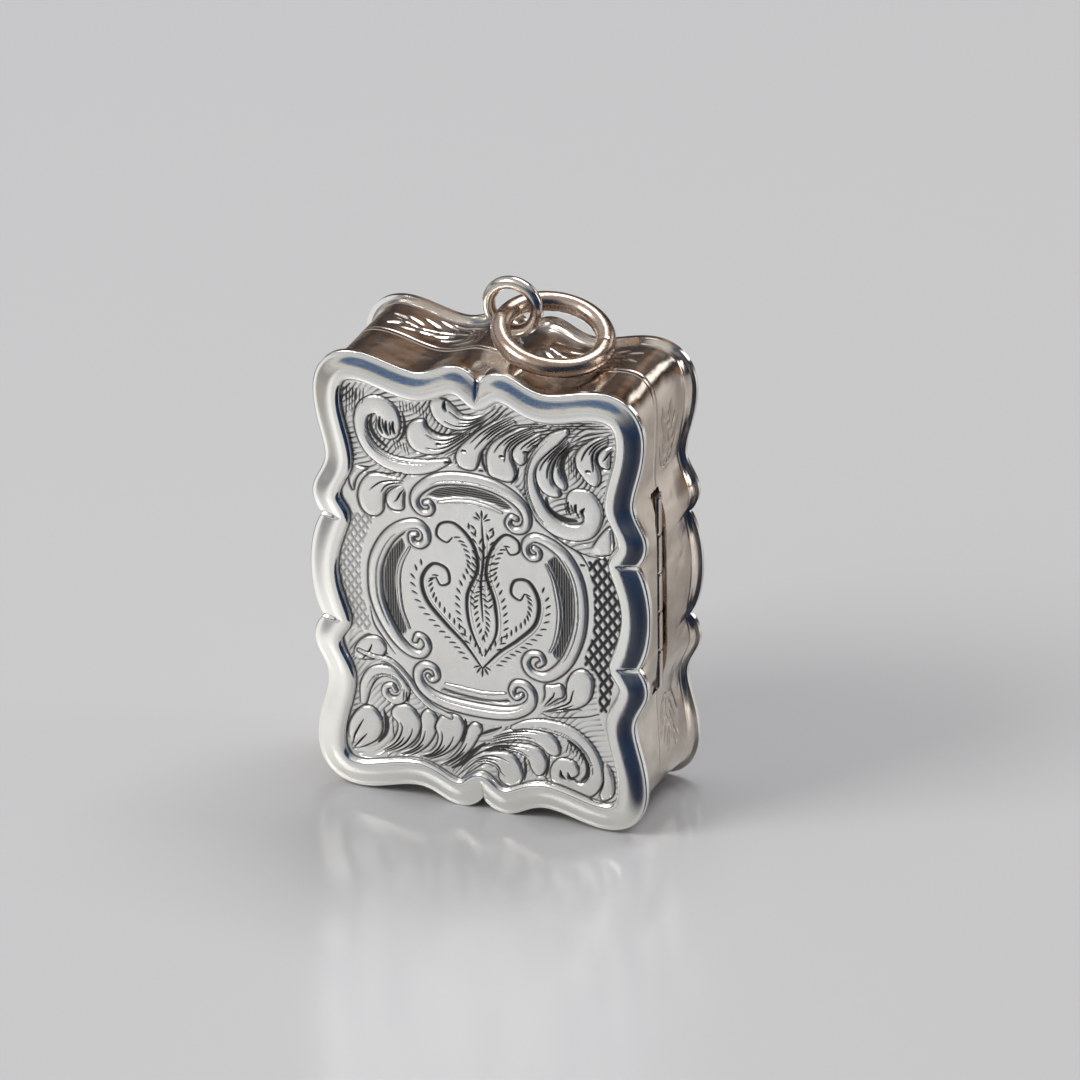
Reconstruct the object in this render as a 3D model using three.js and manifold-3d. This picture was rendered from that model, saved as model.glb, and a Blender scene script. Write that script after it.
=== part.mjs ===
// A silver vinaigrette: a small serpentine case that stands on its short side, with a hinged lid,
// a gilt pierced grille over a sponge, and a ring that swings in an eye on the top wall.
// Millimetres, +Z up. The lid is the front and faces -Y, the hinge is on the right, at +X,
// and the origin is under the middle of the case.
import * as THREE from "three";
import { mergeVertices } from "three/addons/utils/BufferGeometryUtils.js";
import Module from "manifold-3d";

const wasm = await Module();
wasm.setup();

// Overall sizes
const caseWidth = 28.5;
const caseHeight = 38;
const caseDepth = 12;
const lidDepth = 5.5; // front of the rim to the seam
const seamGap = 0.06;

// The serpentine border, measured from the middle of each side
const sidePointRise = 4.45;
const sidePointDepth = 1.05;
const sideLobeRise = 6.3;
const sideLobeSet = 0.25;
const hollowRise = 9.6;
const hollowDepth = 1.35;
const cornerSet = 0.4;
const cornerRun = 3.95; // corner's reach along both sides
const crestSet = 0.2;
const dipRun = 5.4;
const dipDepth = 1.1;
const topLobeRun = 1.9;
const topPointDepth = 1.0;

// Moulded rim and plates
const rimWidth = 2.35;
const rimRise = 0.92; // crown of the rim above its flat back
const fieldRise = 0.38; // plate's outer face above the rim's flat back
const flangeThickness = 0.4;
const rimEdge = 0.35;

// Walls
const wallThickness = 0.6;
const wallSideSet = 1.0; // wall inside the rim's outer edge
const wallHollowSet = 0.4;
const wallTopSet = 0.4;
const wallLobeSet = 0.7;
const wallCornerSet = 0.55; // keeps the corners inside the hinge's axis
const flareShare = 0.15;
const fit = 0.02; // soldered joint between curved faces

// Bezel
const bezelThickness = 0.35;
const bezelProud = 0.7;
const bezelDepth = 2.1;
const bezelGap = 0.1;
const bezelEnd = 9; // the bezel stops short of the hinge

// Hinge
const hingeLength = 16.6;
const hingeTubeRadius = 0.42;
const hingeInset = 1.5; // axis inside the rim's outer edge
const hingePinRadius = 0.18;
const hingePinGap = 0.05;
const knuckleCount = 5;
const knuckleGap = 0.06;
const rabbetReach = 0.8; // from the axis to the floor of the channel that each tube lies in
const rabbetGap = 0.1;
const leafReach = 0.12; // from the axis to the outside of the foot under each tube
const rabbetEndGap = 0.4;
const bearerThickness = 0.9;
const bearerDepth = 1.75;
const bearerEnd = 0.5;

// Thumb lip
const lipLength = 5.2;
const lipReach = 0.8;
const lipThickness = 0.5;

// Grille
const grilleThickness = 0.35;
const grilleDrop = 0.4; // its face below the seam
const grilleGap = 0.12;
const grilleTubeRadius = 0.36;
const grillePinRadius = 0.14;
const grillePinGap = 0.05;
const grilleHingeLength = 9;
const grilleLugShare = 0.3;
const grilleHingeSet = 0.5; // axis from the bearer's inner face
const grilleTubeGap = 0.15;
const grilleLeafThickness = 0.3;
const restLength = 5;
const restReach = 0.9;
const restThickness = 0.6;
const restGap = 0.04;

// Sponge
const spongeThickness = 2.8;
const spongeSideGap = 0.6;
const spongeBackGap = 0.25;

// Eye and ring
const eyeRadius = 2.02; // middle of its wire
const eyeWireRadius = 0.52;
const eyeSet = 2.2; // behind the seam
const eyeFootHeight = 0.6;
const eyeFootWidth = 1.9;
const eyeFootDepth = 1.1;
const ringRadius = 4.1;
const ringWireRadius = 0.78;
const ringSeatSide = -0.2; // where the ring's wire passes the eye, from the eye's centre
const ringSeatDrop = 0.42;
const ringSlip = 12; // degrees that the ring has slipped round in the eye, to the front
const ringFall = 12; // degrees that its free side hangs to the right
const ringLean = 9; // degrees that it leans to the front

const frontY = -caseDepth / 2;
const backY = caseDepth / 2;
const seamY = frontY + lidDepth;
const halfWidth = caseWidth / 2;
const halfHeight = caseHeight / 2;
const centreZ = halfHeight;
const hingeX = halfWidth - hingeInset;
const wallX = halfWidth - wallSideSet;
const innerX = wallX - wallThickness;
const bearerX = innerX - bearerThickness;
const grilleX = bearerX - grilleHingeSet;
const grilleFrontY = seamY + grilleDrop;
const grilleMiddleY = grilleFrontY + grilleThickness / 2;
const bezelInset = wallThickness + bezelGap + bezelThickness;

const silver = new THREE.MeshStandardMaterial({ color: 0xc9c7c2, metalness: 1, roughness: 0.25 });
const brightSilver = new THREE.MeshStandardMaterial({ color: 0xe4e3df, metalness: 1, roughness: 0.12 });
const engravedSilver = new THREE.MeshStandardMaterial({ color: 0xb9b9b4, metalness: 1, roughness: 0.35 });
const tonedSilver = new THREE.MeshStandardMaterial({ color: 0x9c9188, metalness: 1, roughness: 0.25 });
const gilt = new THREE.MeshStandardMaterial({ color: 0xd9a64a, metalness: 1, roughness: 0.28 });
const spongeYellow = new THREE.MeshStandardMaterial({ color: 0xc9a25c, metalness: 0, roughness: 0.95 });

// Borders. A border is a closed list of points with x across and y up, from the middle of the case.
// Every border has the same number of points, so any two of them can be joined by a strip.

const spanSteps = [3, 2, 2, 3, 4, 3, 2, 2];

// One quarter of a border, through its knots. A knot holds its place and its two handles.
function quarter(knots) {
  const points = [];
  knots.slice(1).forEach((knot, i) => {
    const last = knots[i];
    const curve = new THREE.CubicBezierCurve(
      new THREE.Vector2(last.x, last.y),
      new THREE.Vector2(last.x + last.after[0], last.y + last.after[1]),
      new THREE.Vector2(knot.x + knot.before[0], knot.y + knot.before[1]),
      new THREE.Vector2(knot.x, knot.y),
    );
    points.push(...curve.getPoints(spanSteps[i]).slice(i ? 1 : 0));
  });
  return points;
}

// Mirrors a quarter, which runs from the right side's middle to the top's, into a whole border.
function mirrored(points) {
  const back = points.slice(0, -1).reverse();
  const half = [...points, ...back.map((p) => new THREE.Vector2(-p.x, p.y))];
  const lower = half.slice(1, -1).reverse();
  return [...half, ...lower.map((p) => new THREE.Vector2(p.x, -p.y))];
}

function knot(x, y, before, after = before.map((v) => -v)) {
  return { x, y, before, after };
}

const cornerRise = halfHeight - cornerRun;
const crestRun = halfWidth - cornerRun;

// The rim's outer edge, with its sharp re-entrant points.
const outerBorder = mirrored(
  quarter([
    knot(halfWidth, 0, [0, -2.3]),
    knot(halfWidth - sidePointDepth, sidePointRise, [0.5, -0.65], [0.5, 0.38]),
    knot(halfWidth - sideLobeSet, sideLobeRise, [0, -0.75], [0, 1.2]),
    knot(halfWidth - hollowDepth, hollowRise, [0, -1.3]),
    knot(halfWidth - cornerSet, cornerRise, [0, -2.4], [0, 2.2]),
    knot(crestRun, halfHeight - crestSet, [2.2, 0], [-1.7, 0]),
    knot(dipRun, halfHeight - dipDepth, [1.5, 0]),
    knot(topLobeRun, halfHeight, [1.2, 0], [-0.8, 0]),
    knot(0, halfHeight - topPointDepth, [0.45, 0.6]),
  ]),
);

// The rim's inner edge, a rim's width inside, where the points are rounded.
const innerBorder = mirrored(
  quarter([
    knot(halfWidth - rimWidth, 0, [0, -1.9]),
    knot(halfWidth - sidePointDepth - rimWidth, sidePointRise, [0, -0.9]),
    knot(halfWidth - sideLobeSet - rimWidth, sideLobeRise, [0, -0.55], [0, 0.9]),
    knot(halfWidth - hollowDepth - rimWidth, hollowRise, [0, -1.6]),
    knot(halfWidth - cornerSet - rimWidth, cornerRise - 0.3, [0, -1.7], [0, 1.3]),
    knot(crestRun - 0.2, halfHeight - crestSet - rimWidth, [1.1, 0], [-1.2, 0]),
    knot(dipRun, halfHeight - dipDepth - rimWidth, [1.7, 0]),
    knot(topLobeRun, halfHeight - rimWidth, [0.9, 0], [-0.6, 0]),
    knot(0, halfHeight - topPointDepth - rimWidth, [0.8, 0]),
  ]),
);

// The walls' border at the seam, which runs straight behind the hinge. inset moves it inwards.
function wallBorder(inset) {
  const side = wallX - inset;
  const top = halfHeight - inset;
  return mirrored(
    quarter([
      knot(side, 0, [0, -1.4]),
      knot(side, sidePointRise, [0, -1.4], [0, 0.6]),
      knot(side - 0.12, sideLobeRise, [0.06, -0.6]),
      knot(halfWidth - hollowDepth - wallHollowSet - inset, hollowRise, [0, -1.3]),
      knot(side - wallCornerSet, cornerRise - 0.2, [0, -2.2], [0, 2.0]),
      knot(crestRun - 0.5 * inset, top - crestSet - wallTopSet, [1.9, 0], [-1.7, 0]),
      knot(dipRun, top - dipDepth - wallTopSet, [1.5, 0]),
      knot(topLobeRun, top - wallLobeSet, [1.0, 0], [-0.7, 0]),
      knot(0, top - wallLobeSet - 0.2, [0.5, 0]),
    ]),
  );
}

function blend(a, b, share) {
  return a.map((p, i) => p.clone().lerp(b[i], share));
}

// A border as a loop of points in space, at a depth y.
function loopAt(border, y) {
  return border.map((p) => new THREE.Vector3(p.x, y, centreZ + p.y));
}

// Solids

// Turns a geometry into a solid, and turns it inside out if its faces point in.
function solid(geometry) {
  const g = new THREE.BufferGeometry();
  const source = geometry.index ? geometry.toNonIndexed() : geometry;
  g.setAttribute("position", source.getAttribute("position").clone());
  const merged = mergeVertices(g, 1e-4);
  const at = merged.getAttribute("position");
  const index = Array.from(merged.index.array);
  const faces = [];
  let volume = 0;
  const corner = (i) => new THREE.Vector3().fromBufferAttribute(at, i);
  for (let i = 0; i < index.length; i += 3) {
    const [a, b, c] = index.slice(i, i + 3);
    if (a === b || b === c || a === c) continue;
    faces.push(a, b, c);
    volume += corner(a).dot(corner(b).cross(corner(c)));
  }
  if (volume < 0) faces.reverse();
  return new wasm.Manifold(
    new wasm.Mesh({ numProp: 3, vertProperties: at.array, triVerts: new Uint32Array(faces) }),
  );
}

function geometryOf(manifold) {
  const mesh = manifold.getMesh();
  const g = new THREE.BufferGeometry();
  const flat = new Float32Array(mesh.numVert * 3);
  for (let i = 0; i < mesh.numVert; i++)
    flat.set(mesh.vertProperties.subarray(i * mesh.numProp, i * mesh.numProp + 3), i * 3);
  g.setAttribute("position", new THREE.BufferAttribute(flat, 3));
  g.setIndex(new THREE.BufferAttribute(new Uint32Array(mesh.triVerts), 1));
  g.computeVertexNormals();
  return g;
}

function strips(loops, closed) {
  const count = loops[0].length;
  const index = [];
  const last = closed ? loops.length : loops.length - 1;
  for (let row = 0; row < last; row++) {
    const next = (row + 1) % loops.length;
    for (let i = 0; i < count; i++) {
      const j = (i + 1) % count;
      const a = row * count + i;
      const b = row * count + j;
      const c = next * count + j;
      const d = next * count + i;
      index.push(a, b, c, a, c, d);
    }
  }
  return index;
}

function indexed(loops, index) {
  const g = new THREE.BufferGeometry().setFromPoints(loops.flat());
  g.setIndex(index);
  return g;
}

// A closed band: the loops run round its section, and the last one joins the first.
function band(loops) {
  return solid(indexed(loops, strips(loops, true)));
}

// A solid between a first and a last loop, which are both flat and get a cap.
function stack(loops) {
  const index = strips(loops, false);
  const count = loops[0].length;
  const last = (loops.length - 1) * count;
  const outline = (loop) => loop.map((p) => new THREE.Vector2(p.x, p.z));
  THREE.ShapeUtils.triangulateShape(outline(loops[0]), []).forEach(([a, b, c]) => index.push(a, c, b));
  THREE.ShapeUtils.triangulateShape(outline(loops.at(-1)), []).forEach(([a, b, c]) =>
    index.push(last + a, last + b, last + c),
  );
  return solid(indexed(loops, index));
}

function block(x0, x1, y0, y1, z0, z1) {
  const g = new THREE.BoxGeometry(x1 - x0, y1 - y0, z1 - z0);
  return solid(g.translate((x0 + x1) / 2, (y0 + y1) / 2, (z0 + z1) / 2));
}

function rod(radius, length, sides) {
  return new THREE.CylinderGeometry(radius, radius, length, sides).rotateX(Math.PI / 2);
}

// A flat shape in the X-Z plane, as thick as asked and starting at the depth y.
function cutSheet(shape, thickness, y) {
  const g = new THREE.ExtrudeGeometry(shape, { depth: thickness, bevelEnabled: false, curveSegments: 8 });
  return g.rotateX(Math.PI / 2).translate(0, y + thickness, centreZ);
}

function mesh(name, shape, material) {
  const piece = new THREE.Mesh(shape.isBufferGeometry ? shape : geometryOf(shape), material);
  piece.name = name;
  return piece;
}

// Case: the same plate, rim and wall make the front and the back. side is -1 for the lid and 1 for the body.

const rimSection = [
  // share of the way from the inner edge to the outer one, and height above the flat back
  [0, 0],
  [0, fieldRise + 0.3],
  [0.1, rimRise - 0.02],
  [0.3, rimRise],
  [0.52, rimRise * 0.86],
  [0.76, rimRise * 0.58],
  [0.96, rimEdge + 0.12],
  [1, rimEdge],
  [1, 0],
];
const rimBackFromCentre = caseDepth / 2 - rimRise;

function rim(side) {
  const loops = rimSection.map(([share, rise]) =>
    loopAt(blend(innerBorder, outerBorder, share), side * (rimBackFromCentre + rise)),
  );
  return band(loops);
}

function plate(side) {
  const field = blend(innerBorder, outerBorder, -fit / rimWidth);
  const flange = wallBorder(wallThickness + fit);
  return stack([
    loopAt(field, side * (rimBackFromCentre + fieldRise)),
    loopAt(field, side * rimBackFromCentre),
    loopAt(flange, side * rimBackFromCentre),
    loopAt(flange, side * (rimBackFromCentre - flangeThickness)),
  ]);
}

// The wall flares from the seam to the rim: at each share of its depth, how far it has flared.
const wallFlare = [
  [0, 0],
  [0.55, 0.06],
  [0.85, 0.4],
  [1, 1],
];

function wallOutside(side, grow = 0) {
  const seam = seamY + (side < 0 ? -seamGap : 0);
  const rimBack = side * rimBackFromCentre;
  const foot = blend(outerBorder, innerBorder, flareShare);
  return wallFlare.map(([depth, flare]) =>
    loopAt(blend(wallBorder(-grow), foot, flare), seam + (rimBack - seam) * depth),
  );
}

function wall(side) {
  const outside = wallOutside(side);
  const inside = wallBorder(wallThickness);
  return band([...outside, loopAt(inside, outside.at(-1)[0].y), loopAt(inside, outside[0][0].y)]);
}

// The channel along the seam that the hinge's tubes lie in, cut into the walls and the bearers.
function rabbet() {
  const reach = hingeLength / 2 + rabbetEndGap;
  return block(
    hingeX - hingeTubeRadius - rabbetGap,
    halfWidth + 1,
    seamY - rabbetReach,
    seamY + rabbetReach,
    centreZ - reach,
    centreZ + reach,
  );
}

// The bar inside the wall that carries the knuckles, cut to the wall's curve.
function bearer(side) {
  const reach = hingeLength / 2 + rabbetEndGap + bearerEnd;
  const seam = seamY + (side < 0 ? -seamGap : 0);
  const ends = [seam, seam + side * bearerDepth].sort((a, b) => a - b);
  const bar = block(bearerX, wallX, ends[0], ends[1], centreZ - reach, centreZ + reach);
  const room = wallBorder(wallThickness + fit);
  return bar.intersect(stack([loopAt(room, ends[0] - 1), loopAt(room, ends[1] + 1)])).subtract(rabbet());
}

// One tube of a hinge, with the leaf that seats on its bearer. leaf is a block from the tube to its seat.
function knuckle({ x, y, z, length, radius, bore, leaf }) {
  const tube = solid(rod(radius, length, 20)).add(leaf);
  return tube.subtract(solid(rod(bore, length + 1, 14))).translate(x, y, z);
}

const knuckleLength = (hingeLength - (knuckleCount - 1) * knuckleGap) / knuckleCount;

function hingeKnuckle(index, side) {
  const z = centreZ + (index - (knuckleCount - 1) / 2) * (knuckleLength + knuckleGap);
  const seat = rabbetReach * side;
  const half = knuckleLength / 2;
  const leaf = block(-hingeTubeRadius, leafReach, Math.min(0, seat), Math.max(0, seat), -half, half);
  return knuckle({
    x: hingeX,
    y: seamY,
    z,
    length: knuckleLength,
    radius: hingeTubeRadius,
    bore: hingePinRadius + hingePinGap,
    leaf,
  });
}

function bezel() {
  const y0 = seamY - bezelProud;
  const y1 = y0 + bezelDepth + bezelProud;
  const outside = wallBorder(wallThickness + bezelGap);
  const inside = wallBorder(bezelInset);
  const ring = band([loopAt(outside, y0), loopAt(outside, y1), loopAt(inside, y1), loopAt(inside, y0)]);
  return ring.subtract(block(bezelEnd, halfWidth, y0 - 1, y1 + 1, -1, caseHeight + 1));
}

function thumbLip() {
  const shape = new THREE.Shape();
  shape.moveTo(-wallX, -lipLength / 2);
  shape.lineTo(-wallX, lipLength / 2);
  shape.bezierCurveTo(
    -wallX - lipReach * 0.5,
    lipLength * 0.45,
    -wallX - lipReach,
    lipLength * 0.25,
    -wallX - lipReach,
    0,
  );
  shape.bezierCurveTo(
    -wallX - lipReach,
    -lipLength * 0.25,
    -wallX - lipReach * 0.5,
    -lipLength * 0.45,
    -wallX,
    -lipLength / 2,
  );
  const lip = solid(cutSheet(shape, lipThickness, seamY - seamGap - lipThickness));
  return lip.subtract(stack(wallOutside(-1, fit)));
}

// Grille

const grilleEdge = grilleX - grilleTubeRadius - grilleTubeGap;

// A leaf-shaped piercing: a bent rib with a rounded head, which swells and runs out to a point.
function leafHole({ x, y, length, width, angle, bend, steps = 5 }) {
  const turn = THREE.MathUtils.degToRad(angle);
  const left = [];
  const right = [];
  for (let i = 0; i <= steps; i++) {
    const t = i / steps;
    const along = length * t;
    const rib = bend * length * t * t;
    const half = (width / 2) * Math.pow(Math.sin(Math.PI * Math.pow(t, 0.75)), 0.8);
    const place = (off) =>
      new THREE.Vector2(along, rib + off).rotateAround(new THREE.Vector2(), turn).add(new THREE.Vector2(x, y));
    left.push(place(half));
    if (i > 0 && i < steps) right.unshift(place(-half));
  }
  return new THREE.Shape([...left, ...right]);
}

function roundHole(x, y, radius, sides) {
  const points = [];
  for (let i = 0; i < sides; i++) {
    const a = (i / sides) * Math.PI * 2;
    points.push(new THREE.Vector2(x + radius * Math.cos(a), y + radius * Math.sin(a)));
  }
  return new THREE.Shape(points);
}

// Piercings of one quarter of the grille, mirrored four times. Each is a leaf of the scrolling foliage.
const foliage = [
  { x: 0.95, y: 5.0, length: 4.4, width: 1.35, angle: 78, bend: -0.25 },
  { x: 3.2, y: 3.5, length: 4.6, width: 1.5, angle: 52, bend: 0.28 },
  { x: 4.6, y: 1.0, length: 4.2, width: 1.3, angle: 8, bend: 0.25 },
  { x: 2.0, y: 10.6, length: 3.6, width: 1.2, angle: 40, bend: 0.3 },
  { x: 5.4, y: 7.4, length: 3.8, width: 1.3, angle: 28, bend: 0.35 },
];
const petalCount = 8;
const petal = { length: 2.5, width: 1.1, from: 1.15 };
const borderHoleRadius = 0.42;
const borderHolePitch = 2.1;
const borderHoleSet = 1.05;

function foliageHoles() {
  const holes = [];
  for (let i = 0; i < petalCount; i++) {
    const angle = (i * 360) / petalCount;
    const at = new THREE.Vector2(petal.from, 0).rotateAround(new THREE.Vector2(), THREE.MathUtils.degToRad(angle));
    holes.push(leafHole({ x: at.x, y: at.y, length: petal.length, width: petal.width, angle, bend: 0 }));
  }
  foliage.forEach((leaf) => {
    [1, -1].forEach((sx) =>
      [1, -1].forEach((sy) => {
        const angle = sx > 0 ? sy * leaf.angle : 180 - sy * leaf.angle;
        holes.push(leafHole({ ...leaf, x: sx * leaf.x, y: sy * leaf.y, angle, bend: sx * sy * leaf.bend }));
      }),
    );
  });
  return holes;
}

// The grille's border, straight beside its hinge.
function grilleBorder(inset) {
  const border = wallBorder(bezelInset + grilleGap + inset);
  return border.map((p) => new THREE.Vector2(Math.min(p.x, grilleEdge - inset), p.y));
}

// A row of round holes that follows the grille's border.
function borderHoles() {
  const track = grilleBorder(borderHoleSet);
  const path = new THREE.Path([...track, track[0]]);
  const count = Math.round(path.getLength() / borderHolePitch);
  const places = path.getSpacedPoints(count).slice(0, count);
  return places.map((p) => roundHole(p.x, p.y, borderHoleRadius, 6));
}

function grillePlate() {
  const sheet = solid(cutSheet(new THREE.Shape(grilleBorder(0)), grilleThickness, grilleFrontY));
  const holes = [...foliageHoles(), ...borderHoles()];
  const cutters = holes.map((hole) => solid(cutSheet(hole, 3 * grilleThickness, grilleFrontY - grilleThickness)));
  return sheet.subtract(wasm.Manifold.union(cutters));
}

const grilleLugLength = grilleHingeLength * grilleLugShare;
const grilleKnuckleLength = grilleHingeLength - 2 * grilleLugLength - 2 * knuckleGap;

function grilleTube(length, z, leafX) {
  const half = length / 2;
  const thick = grilleLeafThickness / 2;
  const leaf = block(Math.min(0, leafX), Math.max(0, leafX), -thick, thick, -half, half);
  return knuckle({
    x: grilleX,
    y: grilleMiddleY,
    z: centreZ + z,
    length,
    radius: grilleTubeRadius,
    bore: grillePinRadius + grillePinGap,
    leaf,
  });
}

function grilleRest() {
  const x = -(wallX - bezelInset);
  const shape = new THREE.Shape();
  shape.moveTo(x, -restLength / 2);
  shape.quadraticCurveTo(x + restReach * 1.6, 0, x, restLength / 2);
  return cutSheet(shape, restThickness, grilleFrontY + grilleThickness + restGap);
}

function sponge() {
  const border = wallBorder(wallThickness + spongeSideGap);
  const soft = wallBorder(wallThickness + spongeSideGap + 0.25);
  const back = rimBackFromCentre - flangeThickness - spongeBackGap;
  const front = back - spongeThickness;
  return stack([
    loopAt(soft, front),
    loopAt(border, front + 0.4),
    loopAt(border, back - 0.4),
    loopAt(soft, back),
  ]);
}

// Eye and ring

const wallTopZ = centreZ + halfHeight - wallLobeSet - 0.2;
const eyeCentre = new THREE.Vector3(0, seamY + eyeSet, wallTopZ + eyeFootHeight + eyeRadius + eyeWireRadius);

// The eye: a loop of wire on an oval foot, which is soldered to the top wall.
function eye() {
  const loop = solid(new THREE.TorusGeometry(eyeRadius, eyeWireRadius, 8, 28).rotateX(Math.PI / 2));
  const footTop = -eyeRadius - 0.5 * eyeWireRadius;
  const footLength = 2 * eyeWireRadius + eyeFootHeight;
  const oval = new THREE.CylinderGeometry(0.3 * eyeFootWidth, 0.5 * eyeFootWidth, footLength, 20);
  oval.scale(1, 1, eyeFootDepth / eyeFootWidth).rotateX(Math.PI / 2);
  const foot = solid(oval).translate(0, 0, footTop - footLength / 2);
  const seated = loop.add(foot).translate(eyeCentre.x, eyeCentre.y, eyeCentre.z);
  return seated.subtract(stack(wallOutside(1, fit)));
}

// The ring's own group turns about the place where its wire passes through the eye.
function ringGroup() {
  const pivot = new THREE.Group();
  pivot.position.set(ringSeatSide, eyeCentre.y, eyeCentre.z - ringSeatDrop);
  pivot.rotation.y = THREE.MathUtils.degToRad(ringFall);
  const lean = new THREE.Group();
  lean.rotation.x = THREE.MathUtils.degToRad(ringLean);
  const ring = mesh(
    "suspension_ring",
    new THREE.TorusGeometry(ringRadius, ringWireRadius, 10, 36),
    tonedSilver,
  );
  const slip = THREE.MathUtils.degToRad(ringSlip);
  ring.position.set(ringRadius * Math.cos(slip), -ringRadius * Math.sin(slip), 0);
  lean.add(ring);
  pivot.add(lean);
  return pivot;
}

// The assembly

const vinaigrette = new THREE.Group();

const lid = new THREE.Group();
lid.add(
  mesh("lid_plate", plate(-1), engravedSilver),
  mesh("lid_rim", rim(-1), brightSilver),
  mesh("lid_wall", wall(-1).subtract(rabbet()), tonedSilver),
  mesh("lid_hinge_bearer", bearer(-1), silver),
  mesh("lid_knuckle_lower", hingeKnuckle(1, -1), silver),
  mesh("lid_knuckle_upper", hingeKnuckle(3, -1), silver),
  mesh("lid_thumb_lip", thumbLip(), silver),
);

const body = new THREE.Group();
body.add(
  mesh("base_plate", plate(1), silver),
  mesh("base_rim", rim(1), brightSilver),
  mesh("body_wall", wall(1).subtract(rabbet()), tonedSilver),
  mesh("body_hinge_bearer", bearer(1), silver),
  mesh("body_knuckle_lower", hingeKnuckle(0, 1), silver),
  mesh("body_knuckle_middle", hingeKnuckle(2, 1), silver),
  mesh("body_knuckle_upper", hingeKnuckle(4, 1), silver),
  mesh("body_bezel", bezel(), silver),
  mesh("suspension_eye", eye(), brightSilver),
  mesh("grille_rest", grilleRest(), gilt),
);

const pin = mesh("hinge_pin", rod(hingePinRadius, hingeLength, 12), silver);
pin.position.set(hingeX, seamY, centreZ);
body.add(pin);

const lugShift = (grilleKnuckleLength + grilleLugLength) / 2 + knuckleGap;
body.add(
  mesh("grille_lug_lower", grilleTube(grilleLugLength, -lugShift, grilleHingeSet), gilt),
  mesh("grille_lug_upper", grilleTube(grilleLugLength, lugShift, grilleHingeSet), gilt),
);
const grillePin = mesh("grille_pin", rod(grillePinRadius, grilleHingeLength, 10), gilt);
grillePin.position.set(grilleX, grilleMiddleY, centreZ);
body.add(grillePin);

const grille = new THREE.Group();
grille.add(
  mesh("grille_plate", grillePlate(), gilt),
  mesh("grille_knuckle", grilleTube(grilleKnuckleLength, 0, grilleEdge - grilleX), gilt),
);

vinaigrette.add(body, lid, grille, ringGroup(), mesh("sponge", sponge(), spongeYellow));

export default vinaigrette;
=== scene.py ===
"""The visual model of a small silver vinaigrette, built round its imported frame.

Every piece is in metres in the frame's own axes: +Z up, the lid at the front facing -Y,
the hinge at +X. Sizes named in millimetres are the case's own, and `MM` turns them to metres.
"""

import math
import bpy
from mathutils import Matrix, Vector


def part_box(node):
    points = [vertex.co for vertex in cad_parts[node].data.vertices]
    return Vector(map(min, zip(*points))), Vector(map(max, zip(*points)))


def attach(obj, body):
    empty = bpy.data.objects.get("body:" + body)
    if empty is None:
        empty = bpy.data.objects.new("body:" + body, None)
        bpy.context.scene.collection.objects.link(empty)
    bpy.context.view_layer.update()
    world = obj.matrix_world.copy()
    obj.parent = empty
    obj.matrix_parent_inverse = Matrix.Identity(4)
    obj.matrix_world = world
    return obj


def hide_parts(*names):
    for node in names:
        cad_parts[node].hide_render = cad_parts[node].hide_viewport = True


bl_info = {
    "name": "Silver Vinaigrette",
    "version": (1, 0, 0),
    "blender": (4, 5, 0),
    "location": "3D View > Sidebar > Vinaigrette",
    "description": "Builds an engraved silver vinaigrette with a hinged lid, a gilt grille and a ring",
    "category": "Add Mesh",
}

import bpy
import numpy as np
from mathutils import Matrix, Vector

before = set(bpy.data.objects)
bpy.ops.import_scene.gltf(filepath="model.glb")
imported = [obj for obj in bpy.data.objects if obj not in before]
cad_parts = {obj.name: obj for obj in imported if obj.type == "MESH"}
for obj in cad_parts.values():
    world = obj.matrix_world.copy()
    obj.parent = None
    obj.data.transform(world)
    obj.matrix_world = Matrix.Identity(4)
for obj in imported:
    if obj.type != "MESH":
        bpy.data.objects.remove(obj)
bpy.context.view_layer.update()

MM = 0.001

# The case's main sizes, in millimetres, read from the frame.
rim_low, rim_high = (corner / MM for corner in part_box("lid_rim"))
HALF_WIDTH = rim_high.x
HALF_HEIGHT = (rim_high.z - rim_low.z) / 2
CENTRE_Z = (rim_high.z + rim_low.z) / 2
RIM_BACK = -rim_high.y
RIM_RISE = rim_high.y - rim_low.y
SEAM_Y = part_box("body_wall")[0].y / MM
SEAM_GAP = SEAM_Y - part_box("lid_wall")[1].y / MM
FIELD_RISE = -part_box("lid_plate")[0].y / MM - RIM_BACK
FLANGE_THICKNESS = RIM_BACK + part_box("lid_plate")[1].y / MM
HINGE_X = (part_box("hinge_pin")[0].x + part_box("hinge_pin")[1].x) / 2 / MM

RIM_WIDTH = 2.35
WALL_THICKNESS = 0.6
FLARE_SHARE = 0.15
SPAN_STEPS = (26, 16, 14, 18, 30, 20, 18, 14)

CORNER_RISE = HALF_HEIGHT - 3.95
CREST_RUN = HALF_WIDTH - 3.95
WALL_TOP = CENTRE_Z + HALF_HEIGHT - 0.9  # the top wall under the eye
EYE_SETBACK = 2.2  # from the seam to the eye
EYE_STEM = 0.6  # from the top wall to the eye's wire
CHANNEL_HALF = 8.7  # half the length of the hinge's channel
CHANNEL_DEEP = 0.8  # the channel's reach on each side of the seam
TUBE_GAP = 0.06  # between the hinge's tubes
CHANNEL_INSIDE = 0.52  # from the hinge's line to the channel's floor
RECESS_HALF = 8.5  # half the length of the shallow step beside the channel
RECESS_NEAR, RECESS_FAR = 0.7, 1.2  # from the seam to the step's two edges
RECESS_OUTSIDE = 0.2  # from the hinge's line to the step's floor
BEZEL_THICKNESS = 0.35
BEZEL_CLEARANCE = 0.1
BEZEL_RISE = 0.7  # from the seam to the bezel's edge, on the lid's side
BEZEL_ROOT = 2.1  # from the seam to the bezel's root, on the body's side
RING_SLIP, RING_TILT, RING_LEAN = 12, 12, 9  # the ring's turns in its eye, in degrees
RING_JOIN = 14  # where the ring's wire is joined, in degrees round it
RING_DROP = 0.42  # from the eye's middle down to where the ring bears on it
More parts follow.
